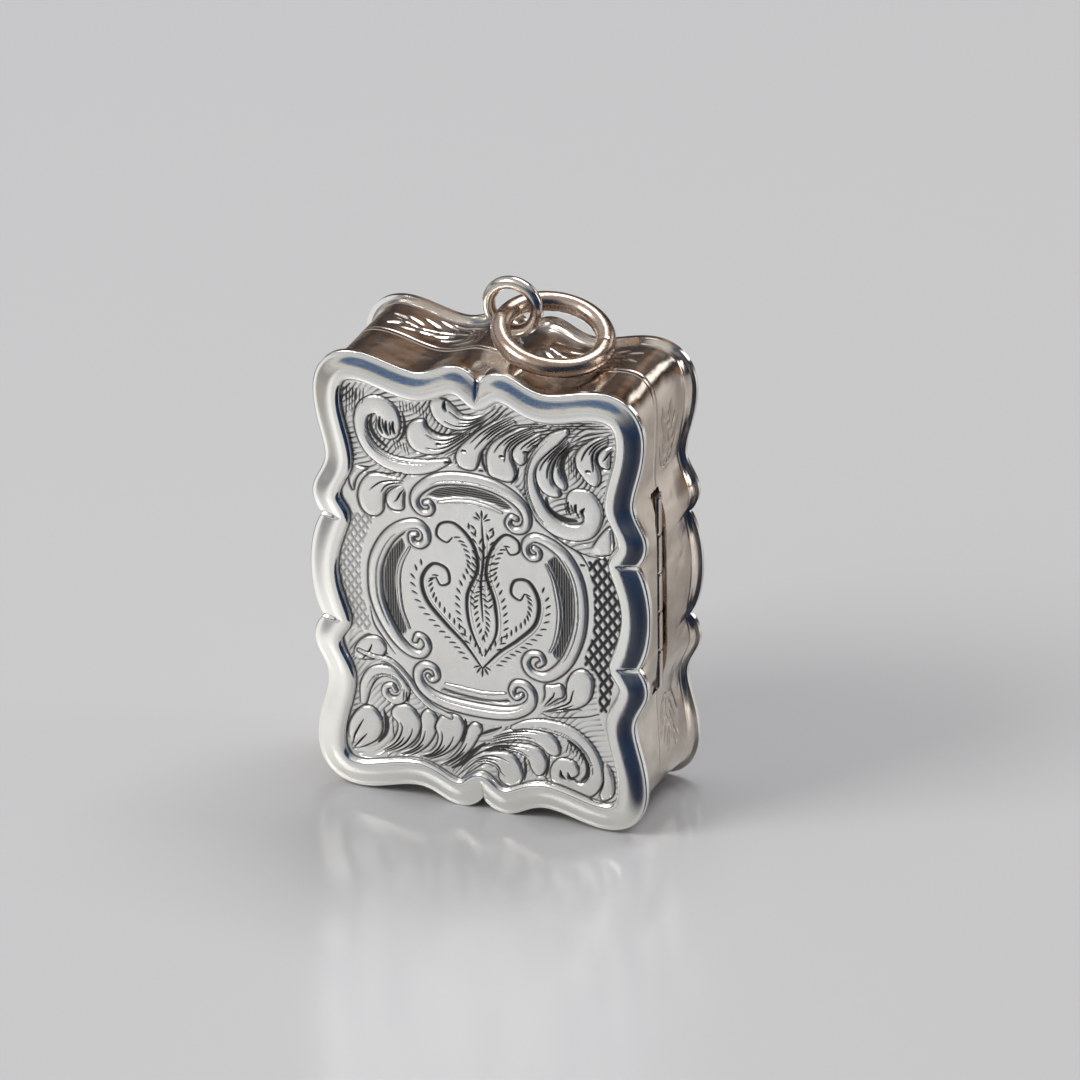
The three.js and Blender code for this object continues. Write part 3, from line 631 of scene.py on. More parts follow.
# Leaves, each with the number of cuts in its tail and a line that starts at one side of the tail,
# goes round the head and ends at the other side.
LEAVES = [
    (4, [(4.4, 15.0), (3.2, 14.4), (2.0, 13.6), (1.1, 12.8), (0.7, 11.9), (0.7, 11.0), (0.95, 10.2),
         (1.7, 9.95), (2.5, 9.9), (3.1, 10.3), (3.0, 11.2), (2.7, 12.0), (2.8, 12.7), (3.5, 13.5),
         (4.7, 14.4)]),
    (2, [(5.2, 14.6), (4.2, 13.9), (3.3, 13.2), (2.85, 12.5), (3.0, 11.8), (3.5, 11.5), (3.9, 11.9),
         (4.0, 12.5), (4.5, 13.2), (5.2, 13.8)]),
    (4, [(2.6, 15.6), (1.4, 14.8), (0.2, 13.9), (-0.8, 12.9), (-1.6, 12.0), (-1.9, 11.2), (-1.6, 10.5),
         (-0.9, 10.3), (-0.3, 10.5), (0.0, 11.2), (0.2, 12.0), (0.8, 12.9), (1.7, 13.9), (3.2, 15.0)]),
    (3, [(7.4, 14.6), (6.6, 13.7), (5.7, 12.8), (5.0, 12.0), (4.75, 11.2), (4.85, 10.3), (5.3, 9.6),
         (6.0, 9.25), (6.7, 9.4), (6.7, 9.9), (6.2, 10.3), (6.0, 11.0), (6.1, 11.9), (6.6, 12.9),
         (7.5, 13.9)]),
    (2, [(8.4, 14.4), (7.5, 13.7), (6.8, 12.9), (6.35, 12.0), (6.2, 11.0), (6.5, 10.3), (7.1, 10.0),
         (7.3, 10.5), (7.0, 11.0), (6.75, 11.6), (6.8, 12.4), (7.3, 13.2), (8.2, 13.9)]),
    (3, [(10.8, 15.4), (9.6, 14.7), (8.6, 13.9), (8.1, 13.0), (8.2, 12.1), (8.7, 11.4), (9.2, 10.9),
         (9.8, 10.8), (10.1, 11.4), (10.0, 12.2), (9.7, 13.0), (9.9, 13.8), (10.8, 14.6)]),
    (1, [(11.2, 14.4), (10.5, 14.1), (10.0, 13.5), (10.0, 12.9), (10.3, 12.5), (10.8, 12.5), (10.9, 13.1),
         (10.9, 13.7)]),
    (3, [(-0.6, 14.0), (-1.8, 13.2), (-2.9, 12.75), (-3.8, 12.9), (-4.4, 13.4), (-4.6, 13.9),
         (-5.3, 13.7), (-5.9, 13.1), (-6.0, 12.2), (-5.6, 11.4), (-4.8, 11.05), (-3.8, 11.1),
         (-2.9, 11.5), (-1.9, 12.3), (-0.8, 13.3)]),
    (3, [(0.9, 15.5), (-0.4, 14.9), (-1.4, 14.9), (-2.0, 15.4), (-2.7, 15.9), (-3.5, 16.0), (-4.0, 15.5),
         (-3.95, 14.9), (-3.6, 14.2), (-2.9, 13.7), (-2.0, 13.55), (-1.0, 13.8), (0.2, 14.6)]),
    (2, [(-6.2, 8.5), (-7.3, 8.5), (-8.4, 8.6), (-9.3, 8.3), (-9.9, 7.5), (-10.15, 6.5), (-9.9, 5.5),
         (-9.3, 4.95), (-8.6, 5.0), (-8.1, 5.6), (-8.0, 6.5), (-7.9, 7.2), (-7.4, 7.7), (-6.5, 8.0)]),
    (1, [(-6.3, 8.0), (-7.0, 7.6), (-7.6, 7.1), (-7.8, 6.5), (-7.5, 5.9), (-6.9, 5.75), (-6.4, 6.0),
         (-6.35, 6.7), (-6.3, 7.3)]),
    (0, [(9.2, 4.9), (10.0, 6.4), (10.9, 7.4), (11.1, 6.4), (11.0, 5.3), (10.2, 4.9)]),
    (2, [(5.0, -9.5), (6.2, -8.8), (7.1, -8.1), (7.15, -7.2), (7.3, -6.4), (7.8, -5.6), (8.6, -5.3),
         (9.3, -5.9), (9.3, -6.9), (9.0, -7.8), (8.3, -8.5), (7.0, -9.1), (5.4, -9.6)]),
    (1, [(4.9, -9.2), (5.3, -8.4), (5.4, -7.8), (5.4, -7.2), (6.0, -7.1), (6.6, -6.9), (6.9, -7.3),
         (6.8, -7.9), (6.3, -8.2), (5.6, -8.8)]),
    (3, [(1.0, -12.3), (2.5, -11.6), (4.2, -11.2), (5.4, -11.3), (6.2, -11.8), (6.5, -12.5), (6.4, -13.0),
         (6.0, -13.2), (5.4, -13.0), (5.0, -12.6), (4.2, -12.3), (3.2, -12.3), (2.0, -12.6), (0.6, -13.2)]),
    (3, [(0.2, -13.7), (1.4, -13.1), (2.8, -12.8), (4.0, -12.7), (4.8, -12.9), (5.3, -13.5), (5.3, -14.4),
         (5.0, -15.0), (4.5, -15.1), (4.1, -14.6), (3.9, -14.0), (3.4, -13.6), (2.6, -13.4), (1.2, -13.5),
         (0.2, -14.0)]),
    (3, [(-0.6, -14.6), (0.4, -14.0), (1.6, -13.7), (2.5, -13.8), (3.1, -14.5), (3.3, -15.4),
         (3.1, -16.1), (2.5, -16.5), (1.8, -16.4), (1.4, -16.0), (1.4, -15.5), (1.1, -15.1), (0.4, -14.9),
         (-0.4, -15.1)]),
    (0, [(10.3, -12.8), (10.9, -14), (11, -15.3), (10.7, -16.0), (10.1, -16.3), (9.9, -15.8), (10.2, -14.8),
         (10.1, -13.6)]),
    (2, [(-11.2, -15.4), (-11.3, -13.9), (-10.8, -12.7), (-10.0, -11.9), (-9.2, -11.9), (-8.6, -12.6),
         (-8.5, -13.6), (-8.9, -14.5), (-9.8, -15.2), (-10.7, -15.7)]),
    (3, [(-8.6, -15.4), (-7.7, -14.6), (-7.2, -13.7), (-7.1, -12.8), (-7.6, -12.2), (-7.4, -11.5),
         (-6.6, -11.1), (-5.8, -11.4), (-5.3, -12.2), (-5.35, -13.2), (-5.9, -14.2), (-6.8, -15.0),
         (-8.0, -15.6)]),
    (2, [(-7.2, -15.5), (-6.0, -14.8), (-5.3, -13.9), (-5.1, -12.8), (-5.1, -11.8), (-4.6, -11.2),
         (-4.0, -11.5), (-3.9, -12.4), (-4.1, -13.3), (-4.7, -14.3), (-5.6, -15.1), (-6.6, -15.6)]),
    (3, [(-5.6, -15.4), (-4.6, -15.0), (-3.9, -14.2), (-3.7, -13.3), (-3.9, -12.5), (-3.5, -11.6),
         (-2.8, -11.2), (-1.9, -11.3), (-1.6, -12.0), (-1.8, -13.0), (-2.4, -14.0), (-3.3, -14.8),
         (-4.6, -15.5)]),
    (2, [(-4.0, -15.9), (-2.8, -15.2), (-2.0, -14.3), (-1.5, -13.3), (-1.2, -12.2), (-0.7, -11.6),
         (-0.2, -11.7), (-0.1, -12.2), (-0.5, -13.0), (-1.0, -13.9), (-1.8, -14.8), (-2.8, -15.7)]),
    (0, [(-10.6, 8.9), (-10.9, 7.9), (-10.6, 6.9), (-10.45, 7.6), (-10.1, 8.3), (-9.4, 8.9)]),
    (1, [(-10.9, -7.9), (-10.5, -6.6), (-9.7, -5.8), (-8.7, -5.6), (-8.1, -6.2), (-8.3, -7.1),
         (-9.2, -7.6)]),
]
# Deep swelling cuts that shade the hollows beside the heads: a width and a line.
HOLLOWS = [
    (0.85, [(5.6, 9.0), (5.75, 8.2), (6.4, 7.65), (7.2, 7.45), (8.1, 7.5)]),
    (0.3, [(4.75, 11.9), (4.6, 11.1), (4.8, 10.2), (5.3, 9.4)]),
    (0.6, [(7.5, 13.3), (7.05, 12.5), (7.0, 11.7), (7.35, 10.9)]),
    (0.35, [(10.0, 13.7), (9.8, 13.0), (10.1, 12.4)]),
    (0.45, [(-6.4, 14.3), (-6.2, 13.4), (-6.3, 12.4), (-6.8, 11.6)]),
    (0.6, [(-9.0, 13.5), (-9.05, 12.5), (-8.6, 11.7), (-7.7, 11.0)]),
    (0.32, [(-4.4, 14.2), (-4.2, 13.4), (-3.5, 13.0), (-2.6, 12.95), (-1.2, 13.4)]),
    (0.4, [(0.35, 12.0), (0.3, 11.2), (0.6, 10.4)]),
    (0.3, [(3.3, 11.2), (3.2, 10.6), (2.7, 9.7)]),
    (0.7, [(7.2, -11.7), (8.2, -12.3), (8.8, -13.3), (8.8, -14.3), (8.3, -15.0)]),
    (0.4, [(3.5, -13.9), (3.6, -14.8), (3.5, -15.8)]), (0.4, [(5.6, -13.3), (5.5, -14.2), (5.3, -15.2)]),
    (0.6, [(-8.3, -11.9), (-8.1, -12.9), (-8.2, -13.9), (-8.8, -14.8)]),
    (0.45, [(-1.4, -11.4), (-1.4, -12.4), (-1.8, -13.5)]),
    (0.5, [(-6.9, -9.6), (-6.4, -10.1), (-6.3, -10.8)]),
    (0.6, [(-2.6, -15.9), (-1.6, -15.2), (-0.8, -14.2), (0.2, -13.2)]),
    (0.4, [(-0.3, -12.6), (0.6, -12.1), (1.6, -11.6)]),
]

# Straps: a line through its middle, and its width from end to end.
VOLUTES = [
    ([(-2.6, 10.7), (-4.2, 10.0), (-6, 9.65), (-7.6, 9.8), (-8.9, 10.5), (-9.7, 11.7), (-9.9, 13),
      (-9.55, 14.0), (-8.6, 14.5), (-7.8, 14.1), (-7.5, 13.3), (-7.6, 12.7)],
     [0.4, 0.9, 1.2, 1.3, 1.25, 1.15, 1.05, 1.0, 1.1, 1.5, 1.9, 1.9]),
    ([(7.3, 15.0), (6.2, 14.1), (5.2, 13.0), (4.55, 11.9), (4.3, 10.8), (4.4, 9.5), (4.8, 8.4),
      (5.4, 7.4), (6.4, 6.65), (7.6, 6.4), (8.8, 6.7), (9.4, 7.5), (9.4, 8.5), (8.9, 9.2), (8.4, 9.2)],
     [0.5, 1.0, 0.95, 0.75, 0.72, 0.95, 1.2, 1.3, 1.3, 1.3, 1.25, 1.3, 1.9, 2.1]),
    ([(2.6, -11.4), (3.8, -10.9), (5.3, -10.7), (7.1, -10.9), (8.5, -11.7), (9.4, -13), (9.55, -14.4),
      (9.0, -15.5), (8.0, -15.9), (7.0, -15.6), (6.5, -14.8), (6.8, -14.1), (7.3, -14.1)],
     [0.3, 0.7, 0.95, 1.05, 1.1, 1.1, 1.05, 1.1, 1.2, 1.5, 1.6, 1.5]),
    ([(-10.0, -11.4), (-9.8, -10.0), (-9.2, -8.9), (-8.2, -8.45), (-7.1, -8.7), (-6.5, -9.6), (-6.7, -10.5),
      (-7.4, -10.9), (-8.1, -10.5), (-8.15, -9.9), (-7.6, -9.6), (-7.3, -10.0)],
     [0.5, 0.9, 0.95, 0.85, 0.75, 0.6, 0.45, 0.3]),
    ([(-10.3, -7.0), (-9.2, -7.3), (-7.6, -7.6), (-6.4, -8.6), (-5.4, -9.9), (-4.2, -10.9), (-2.6, -11.4)],
     [0.25, 0.4, 0.5, 0.5, 0.5, 0.4, 0.25]),
]
CARTOUCHE_SCROLLS = [
    ([(-4.55, 6.8), (-4.2, 6.9), (-3.95, 6.5), (-4.25, 6.0), (-4.85, 5.95), (-5.35, 6.5), (-5.35, 7.35),
      (-4.7, 8.2), (-3.6, 8.95), (-2, 9.35), (-0.2, 9.45), (1.4, 9.2), (2.8, 8.6), (3.75, 7.75),
      (4.0, 6.75), (3.65, 6.0), (2.9, 5.8), (2.4, 6.3), (2.65, 6.9), (3.1, 6.8)],
     [0.35, 0.45, 0.65, 0.8, 0.95, 1.1, 1.15, 1.15, 1.15, 1.1, 0.95, 0.8, 0.65, 0.45, 0.35]),
    ([(-5.35, 3.95), (-5.75, 3.8), (-5.6, 3.2), (-5.0, 3.05), (-4.5, 3.6), (-4.6, 4.4), (-5.3, 4.85),
      (-6.4, 4.45), (-7.5, 3.5), (-8.3, 2.2), (-8.75, 0.9), (-8.85, -0.5), (-8.75, -1.9), (-8.35, -3.2),
      (-7.75, -4.4), (-6.9, -5.6), (-5.9, -6.35), (-5.0, -6.4), (-4.5, -5.7), (-4.7, -5.0), (-5.3, -4.8),
      (-5.55, -5.3)],
     [0.35, 0.5, 0.7, 0.9, 1.1, 1.2, 1.25, 1.25, 1.25, 1.2, 1.1, 0.9, 0.7, 0.5, 0.35]),
    ([(4.55, 4.55), (4.95, 4.3), (4.85, 3.8), (4.3, 3.65), (3.85, 4.15), (3.95, 4.95), (4.7, 5.45),
      (5.9, 5.15), (7.0, 4.4), (7.75, 3.3), (8.2, 2.1), (8.4, 0.7), (8.4, -0.8), (8.2, -2.2), (7.8, -3.5),
      (7.2, -4.8), (6.3, -5.9), (5.3, -6.5), (4.2, -6.3), (3.75, -5.5), (4.1, -4.75), (4.9, -4.6),
      (5.2, -5.15), (4.8, -5.55)],
     [0.35, 0.5, 0.7, 0.85, 1.0, 1.1, 1.15, 1.15, 1.15, 1.1, 1.0, 0.85, 0.7, 0.5, 0.35]),
    ([(-4.5, -8.2), (-4.15, -8.5), (-3.75, -8.1), (-3.95, -7.45), (-4.7, -7.3), (-5.3, -7.9), (-5.2, -8.9),
      (-4.4, -9.7), (-3.2, -10.15), (-1.7, -10.35), (0, -10.4), (1.7, -10.3), (3.0, -9.95), (4.0, -9.2),
      (4.25, -8.2), (3.7, -7.5), (2.9, -7.5), (2.55, -8.15), (2.9, -8.7), (3.35, -8.4)],
     [0.35, 0.5, 0.7, 0.85, 1.05, 1.2, 1.25, 1.25, 1.2, 1.05, 0.85, 0.7, 0.5, 0.35]),
]
# Shaded coves inside the scrolls, each with the way that its cuts run.
COVES = [
    (90, [(-6.5, 3.6), (-7.5, 2.4), (-7.95, 1.4), (-8.2, 0), (-8.15, -1.5), (-7.95, -2.8), (-7.4, -4),
          (-6.7, -5.1), (-6.2, -4.5), (-6.75, -2.8), (-7.0, -1.5), (-7.05, 0), (-6.8, 1.3), (-6.25, 2.6)]),
    (90, [(6.3, 4.3), (7.0, 3.4), (7.6, 2.2), (7.85, 0.8), (7.85, -0.8), (7.65, -2.2), (7.2, -3.6),
          (6.6, -4.8), (6.0, -4.2), (6.45, -3), (6.7, -1.5), (6.75, 0), (6.5, 1.3), (6.1, 2.6),
          (5.7, 3.6)]),
    (0, [(-4.6, 7.4), (-3.4, 8.35), (-1, 8.85), (0.9, 8.65), (2.0, 8.25), (2.8, 7.6), (2.2, 7.25),
         (1.2, 7.55), (-0.4, 7.75), (-2, 7.6), (-3.4, 7.25)]),
    (0, [(-3.3, -8.9), (-2, -9.1), (0, -9.25), (1.5, -9.1), (2.2, -8.9), (2.4, -9.4), (0, -9.75),
         (-2.4, -9.6), (-3.4, -9.3)]),
]


def tail_cuts(r, line, count):
    """Cuts that run out of a leaf's open tail and die in its head."""
    edge = spline(line, 0.12)
    half = len(edge) // 2
    left, right = edge[:half], edge[: half - 1 : -1]
    for i in range(count):
        share = (i + 1) / (count + 1)
        steps = np.linspace(0, 0.62 - 0.2 * (i % 2), 8)
        first, second = (side[(steps * (len(side) - 1)).astype(int)] for side in (left, right))
        r.cut((1 - share) * first + share * second, 0.22, 0.09, 0.85)


def lid_design():
    """Everything that is cut into the lid's face."""
    r = engraved_grid()
    r.ground(TOP_GROUND, 40, 0.42, 0.08, 0.06, 0.95, 0.15, 0.3, 0.1)
    r.ground(BOTTOM_GROUND, 36, 0.44, 0.08, 0.06, 0.75, 0.15, 0.3, 0.08)
    r.lattice(RIGHT_LATTICE, (0.82, 1.1), 0.34, 0.1)
    r.lattice(LEFT_LATTICE, (0.66, 0.9), 0.24, 0.07, 0.5)
    strands(r)
    for count, outline in LEAVES:
        r.petal(outline)
        tail_cuts(r, outline, count)
    for width, line in HOLLOWS:
        r.cut(line, width, 0.14, 0.8)
    for line, widths in VOLUTES:
        r.band(line, widths)
        volute_shading(r, line, widths)
    cartouche_frame(r)
    sprig(r)
    accents(r)
    return r


def cartouche_frame(r):
    """The four C-scrolls with the dark coves inside them, and the cartouche's edge."""
    for angle, outline in COVES:
        r.ground(outline, angle, 0.2, 0.06, 0.13, 1.0, 0.2, least=0.6)
    for line, widths in CARTOUCHE_SCROLLS:
        slim = [0.86 * width for width in widths]
        r.band(line, slim, 0.17, 0.17)
        middle = spline(line, 0.2)
        _, inward = sideways(middle)
        if (inward[len(middle) // 2] @ middle[len(middle) // 2]) > 0:
            inward = -inward
        low, high = int(0.3 * len(middle)), int(0.72 * len(middle))
        r.cut((middle + 0.17 * inward)[low:high:4], 0.13, 0.05, 0.9, 0.6)
    cartouche_edge(r)


def volute_shading(r, line, widths):
    """A fine cut along a strap, a third of the way across it, where the strap is wide."""
    middle = spline(line, 0.2)
    _, out = sideways(middle)
    wide = np.interp(np.linspace(0, 1, len(middle)), np.linspace(0, 1, len(widths)), widths)
    low, high = int(0.12 * len(middle)), int(0.62 * len(middle))
    for share, start in ((0.24, low), (0.36, low + 6)):
        offset = middle + out * (wide * share)[:, None]
        r.cut(offset[start:high:4], 0.11, 0.045, 0.85, 0.8)


def strands(r):
    """The hair-like cuts that sweep between the leaves."""
    sweeps = [
        ((-3.1, 11.2), (-1.2, 12.8), (1.7, 15.9), (0.36, -0.1), 3),
        ((-2.6, 13.0), (-0.6, 14.3), (1.5, 16.0), (0.3, -0.25), 3),
        ((1.4, 13.6), (2.9, 14.7), (5.4, 15.3), (0.35, -0.1), 3),
        ((3.4, 13.6), (4.8, 14.5), (7.8, 15.4), (0.25, -0.2), 4),
        ((7.7, 14.1), (8.9, 14.9), (11.1, 15.7), (0.05, -0.32), 4),
        ((5.6, 15.3), (7.8, 15.8), (10.2, 16.2), (0.5, -0.15), 3),
        ((-2.6, -16.2), (-0.8, -14.0), (2.6, -12.2), (0.35, -0.3), 4),
    ]
    for first, middle, last, step, count in sweeps:
        for i in range(count):
            shift = np.array(step) * i
            line = [np.array(first) + shift * 0.6, np.array(middle) + shift, np.array(last) + shift * 0.9]
            r.cut(line, 0.2, 0.08, 0.9)


def cartouche_edge(r):
    """The bright line that bounds the cartouche, and the fine cut outside it."""
    sides = [
        [(-5.9, 2.7), (-6.6, 1.3), (-6.85, 0), (-6.8, -1.5), (-6.6, -2.8), (-6.0, -4.3)],
        [(5.6, 3.3), (6.1, 2.2), (6.4, 1), (6.6, -0.5), (6.5, -2), (6.2, -3.3), (5.8, -4.2)],
        [(-3.4, 7.05), (-2, 7.4), (-0.6, 7.55), (0.8, 7.4), (1.9, 7.1)],
        [(-3.0, -8.6), (0, -8.8), (2, -8.5)],
    ]
    for side in sides:
        r.band(side, [0.1, 0.24, 0.26, 0.24, 0.1], 0.07, 0.07)


def sprig(r):
    """A generic foliate spray in the cartouche: curling tendrils, fronds and bright-cut flecks."""
    tendrils = [
        ([(0.1, -6.7), (-1.3, -4.9), (-3.0, -3.3), (-4.5, -1.6), (-4.9, 0.2), (-4.0, 1.6), (-2.8, 1.4),
          (-2.6, 0.3), (-3.3, -0.1), (-3.7, 0.5)], 0.5),
        ([(0.1, -6.7), (1.6, -5.0), (3.1, -3.7), (4.6, -2.0), (4.9, 0.0), (4.1, 1.5), (2.9, 1.4),
          (2.6, 0.3), (3.3, -0.2), (3.7, 0.4)], 0.5),
        ([(0.1, -5.6), (-0.9, -3.2), (-1.1, -0.6), (-0.2, 1.9), (-0.6, 4.0), (-2.0, 5.4), (-3.3, 5.2),
          (-3.6, 4.2), (-2.8, 3.7), (-2.3, 4.2)], 0.46),
        ([(0.3, -5.6), (1.3, -3.4), (1.2, -0.8), (0.5, 1.6), (1.0, 3.8), (2.1, 5.2), (3.2, 4.9),
          (3.3, 4.0), (2.6, 3.6), (2.2, 4.1)], 0.46),
        ([(0.2, -2.6), (0.05, 0.4), (0.3, 3.0), (0.2, 6.2)], 0.3),
    ]
    for line, width in tendrils:
        r.cut(line, width, 0.13, 0.75)
        fine = spline(line[:6], 0.2)
        ahead, out = sideways(fine)
        r.cut((fine + 0.34 * out)[3:-3:5], 0.12, 0.05, 0.9, 0.7)
        flecks(r, fine, out, ahead)
    for cx, cz, turn in ((0.2, 6.0, 90), (0.1, -6.4, 270)):
        for k in range(-2, 3):
            angle = math.radians(turn + 32 * k)
            way = np.array([math.cos(angle), math.sin(angle)])
            start = np.array([cx, cz]) + 0.25 * way
            r.cut([start, start + (0.8 - 0.12 * abs(k)) * way], 0.26, 0.1, 0.95)


def flecks(r, line, out, ahead):
    """Wedge-shaped cuts in pairs on both sides of a tendril."""
    for k in range(6, len(line) - 4, 3):
        forward = ahead[k] / np.linalg.norm(ahead[k])
        for side in (-1, 1):
            start = line[k] + side * 0.55 * out[k]
            r.cut([start, start + 0.42 * side * out[k] + 0.4 * forward], 0.24, 0.1, 0.9)


def accents(r):
    """Wedges in the heads of the volutes, and the dots, short hatches and lines that fill the gaps."""
    wedges = [
        [(7.5, 9.1), (7.35, 8.5), (7.6, 7.9)], [(8.15, 9.0), (8.05, 8.4), (8.3, 7.8)],
        [(8.85, 8.8), (8.6, 8.4), (8.8, 7.9)], [(-8.2, 13.6), (-8.3, 12.9), (-8.0, 12.2)],
        [(-7.7, 13.3), (-7.75, 12.7), (-7.5, 12.1)],
        [(-7.1, 13.4), (-7.15, 12.8), (-6.95, 12.3)], [(6.6, -14.3), (6.7, -14.8), (7.1, -15.1)],
        [(7.2, -14.4), (7.4, -14.9), (7.9, -15.0)], [(-2.75, 15.9), (-2.8, 15.4), (-2.6, 15.0)],
    ]
    for line in wedges:
        r.cut(line, 0.36, 0.12, 0.85)
    dots = [(-3.3, 12.1), (-2.6, 10.65), (0.2, 10.4), (4.0, 12.7), (4.75, 13.35), (9.2, 12.0), (10.3, 12.4),
            (-1.2, 11.9), (2.0, 12.0), (8.6, 3.8)]
    for x, z in dots:
        r.cut([(x - 0.1, z), (x + 0.1, z)], 0.32, 0.1, 0.0)
    hatches = [
        ((-6.6, 15.2), (-4.4, 15.0), (0.1, -1.0), 9), ((-7.2, 11.9), (-6.1, 11.6), (0.25, -1.0), 5),
        ((-11.3, 15.6), (-9.6, 15.7), (-0.1, -1.3), 7), ((7.1, 8.8), (8.0, 9.0), (0.2, -0.9), 4),
        ((-8.3, 13.6), (-7.4, 13.3), (0.1, -1.2), 4), ((7.3, -11.7), (8.6, -12.4), (-0.3, -1.1), 6),
        ((-6.5, -9.7), (-6.1, -10.0), (-0.1, -1.0), 3), ((-8.3, -12.2), (-7.6, -12.4), (0.1, -1.8), 3),
        ((10.5, 11.4), (11.0, 9.8), (-0.6, -0.5), 5), ((-11.2, 11.6), (-10.9, 9.4), (0.7, 0.1), 7),
        ((5.6, -15.6), (4.9, -16.1), (-0.5, 0.5), 3), ((7.5, 13.0), (8.1, 12.9), (0.02, -2.0), 4),
        ((-11.0, 15.6), (-10.3, 15.6), (-0.1, -2.6), 4), ((7.3, -11.6), (8.6, -12.6), (0.25, -1.0), 4),
    ]
    for first, last, way, count in hatches:
        for share in np.linspace(0, 1, count):
            start = np.array(first) + share * (np.array(last) - np.array(first))
            r.cut([start, start + np.array(way) * (0.85 + 0.15 * math.cos(7 * share))], 0.15, 0.08, 0.7)
    lines = [
        [(4.7, 7), (6.5, 5.7), (8.5, 4.8), (10.4, 4.6)], [(6.9, 5.4), (8.4, 4.7), (9.2, 3.6)],
        [(-8.9, 8.7), (-7.6, 8.75), (-6.4, 9.1)], [(5, -9.7), (6, -9.9), (8.5, -9.4), (9.9, -8.9)],
        [(6.2, -9.2), (7.4, -8.9), (8.4, -8.8)], [(-9.3, -3.0), (-9.0, -4.4), (-8.2, -5.6), (-7.2, -6.8)],
    ]
    for line in lines:
        r.cut(line, 0.2, 0.09, 0.7)


def back_design():
    """The back plate: the same scrolls round a bare cartouche, on a ground of crossed cuts."""
    r = engraved_grid()
    whole = [(-12.3, 0), (-11.2, 9.6), (-11.6, 15.4), (-5.4, 15.4), (0, 15.8), (5.4, 15.4), (11.6, 15.4),
             (11.2, 9.6), (12.3, 0), (11.2, -9.6), (11.6, -15.4), (5.4, -15.4), (0, -15.8),
             (-5.4, -15.4), (-11.6, -15.4), (-11.2, -9.6)]
    r.lattice(whole, (0.7, 0.95), 0.18, 0.07)
    for sx in (1, -1):
        for sz in (1, -1):
            flip = (sx, sz)
            for count, outline in [LEAVES[5], LEAVES[6], LEAVES[9], LEAVES[0]]:
                turned = np.abs(np.array(outline)) * flip
                r.petal(turned)
                tail_cuts(r, turned, count)
            line, widths = VOLUTES[1]
            r.band(np.array(line) * flip, widths)
    turn = np.linspace(0, 2 * math.pi, 24, endpoint=False)
    plain = [(9.0 * math.cos(a), -0.5 + 9.6 * math.sin(a)) for a in turn]
    r.petal(plain, 0.02, 0.3, tail=False)
    cartouche_frame(r)
    return r


# Case pieces

CELL = 0.058  # distance between an engraved face's points
SKIN_BACK = 0.1  # back of the engraved skin above the rim's flat back
SKIN_OVERLAP = 0.05  # reach of the engraved skin under the rim


def engraved_grid():
    """An empty relief over the field that the rim frames."""
    reach_x, reach_z = HALF_WIDTH - RIM_WIDTH + 0.2, HALF_HEIGHT - RIM_WIDTH + 0.2
    across = np.linspace(-reach_x, reach_x, 2 * int(reach_x / CELL) + 1)
    up = np.linspace(-reach_z, reach_z, 2 * int(reach_z / CELL) + 1)
    return Relief(across, up)


def slab(name, x, y, z, kept, back, dark):
    """A closed sheet: a grid of points in front, a flat back, and walls round the kept cells."""
    used = np.zeros(x.shape, bool)
    for rows in (slice(0, -1), slice(1, None)):
        for cols in (slice(0, -1), slice(1, None)):
            used[rows, cols] |= kept
    number = np.full(x.shape, -1)
    number[used] = np.arange(used.sum())
    corners = [number[:-1, :-1], number[:-1, 1:], number[1:, 1:], number[1:, :-1]]
    faces = np.stack([c[kept] for c in corners], -1)
    front = np.column_stack([x[used], y[used], CENTRE_Z + z[used]])
    size = len(front)
    edges = np.concatenate([faces[:, [i, (i + 1) % 4]] for i in range(4)])
    codes = edges[:, 0] * size + edges[:, 1]
    lone = edges[~np.isin(edges[:, 1] * size + edges[:, 0], codes)]
    following = dict(lone.tolist())
    start = min(following)
    loop = [start]
    while following[loop[-1]] != start:
        loop.append(following[loop[-1]])
    behind = front[loop] * (1, 0, 1) + (0, back, 0)
    count = len(loop)
    walls = [[loop[(i + 1) % count], loop[i], size + i, size + (i + 1) % count] for i in range(count)]
    cap = [size + i for i in range(count - 1, -1, -1)]
    points = np.concatenate([front, behind])
    tones = np.concatenate([dark[used], np.zeros(count)])
    return as_object(name, points, faces.tolist() + walls + [cap], {"tarnish": tones})


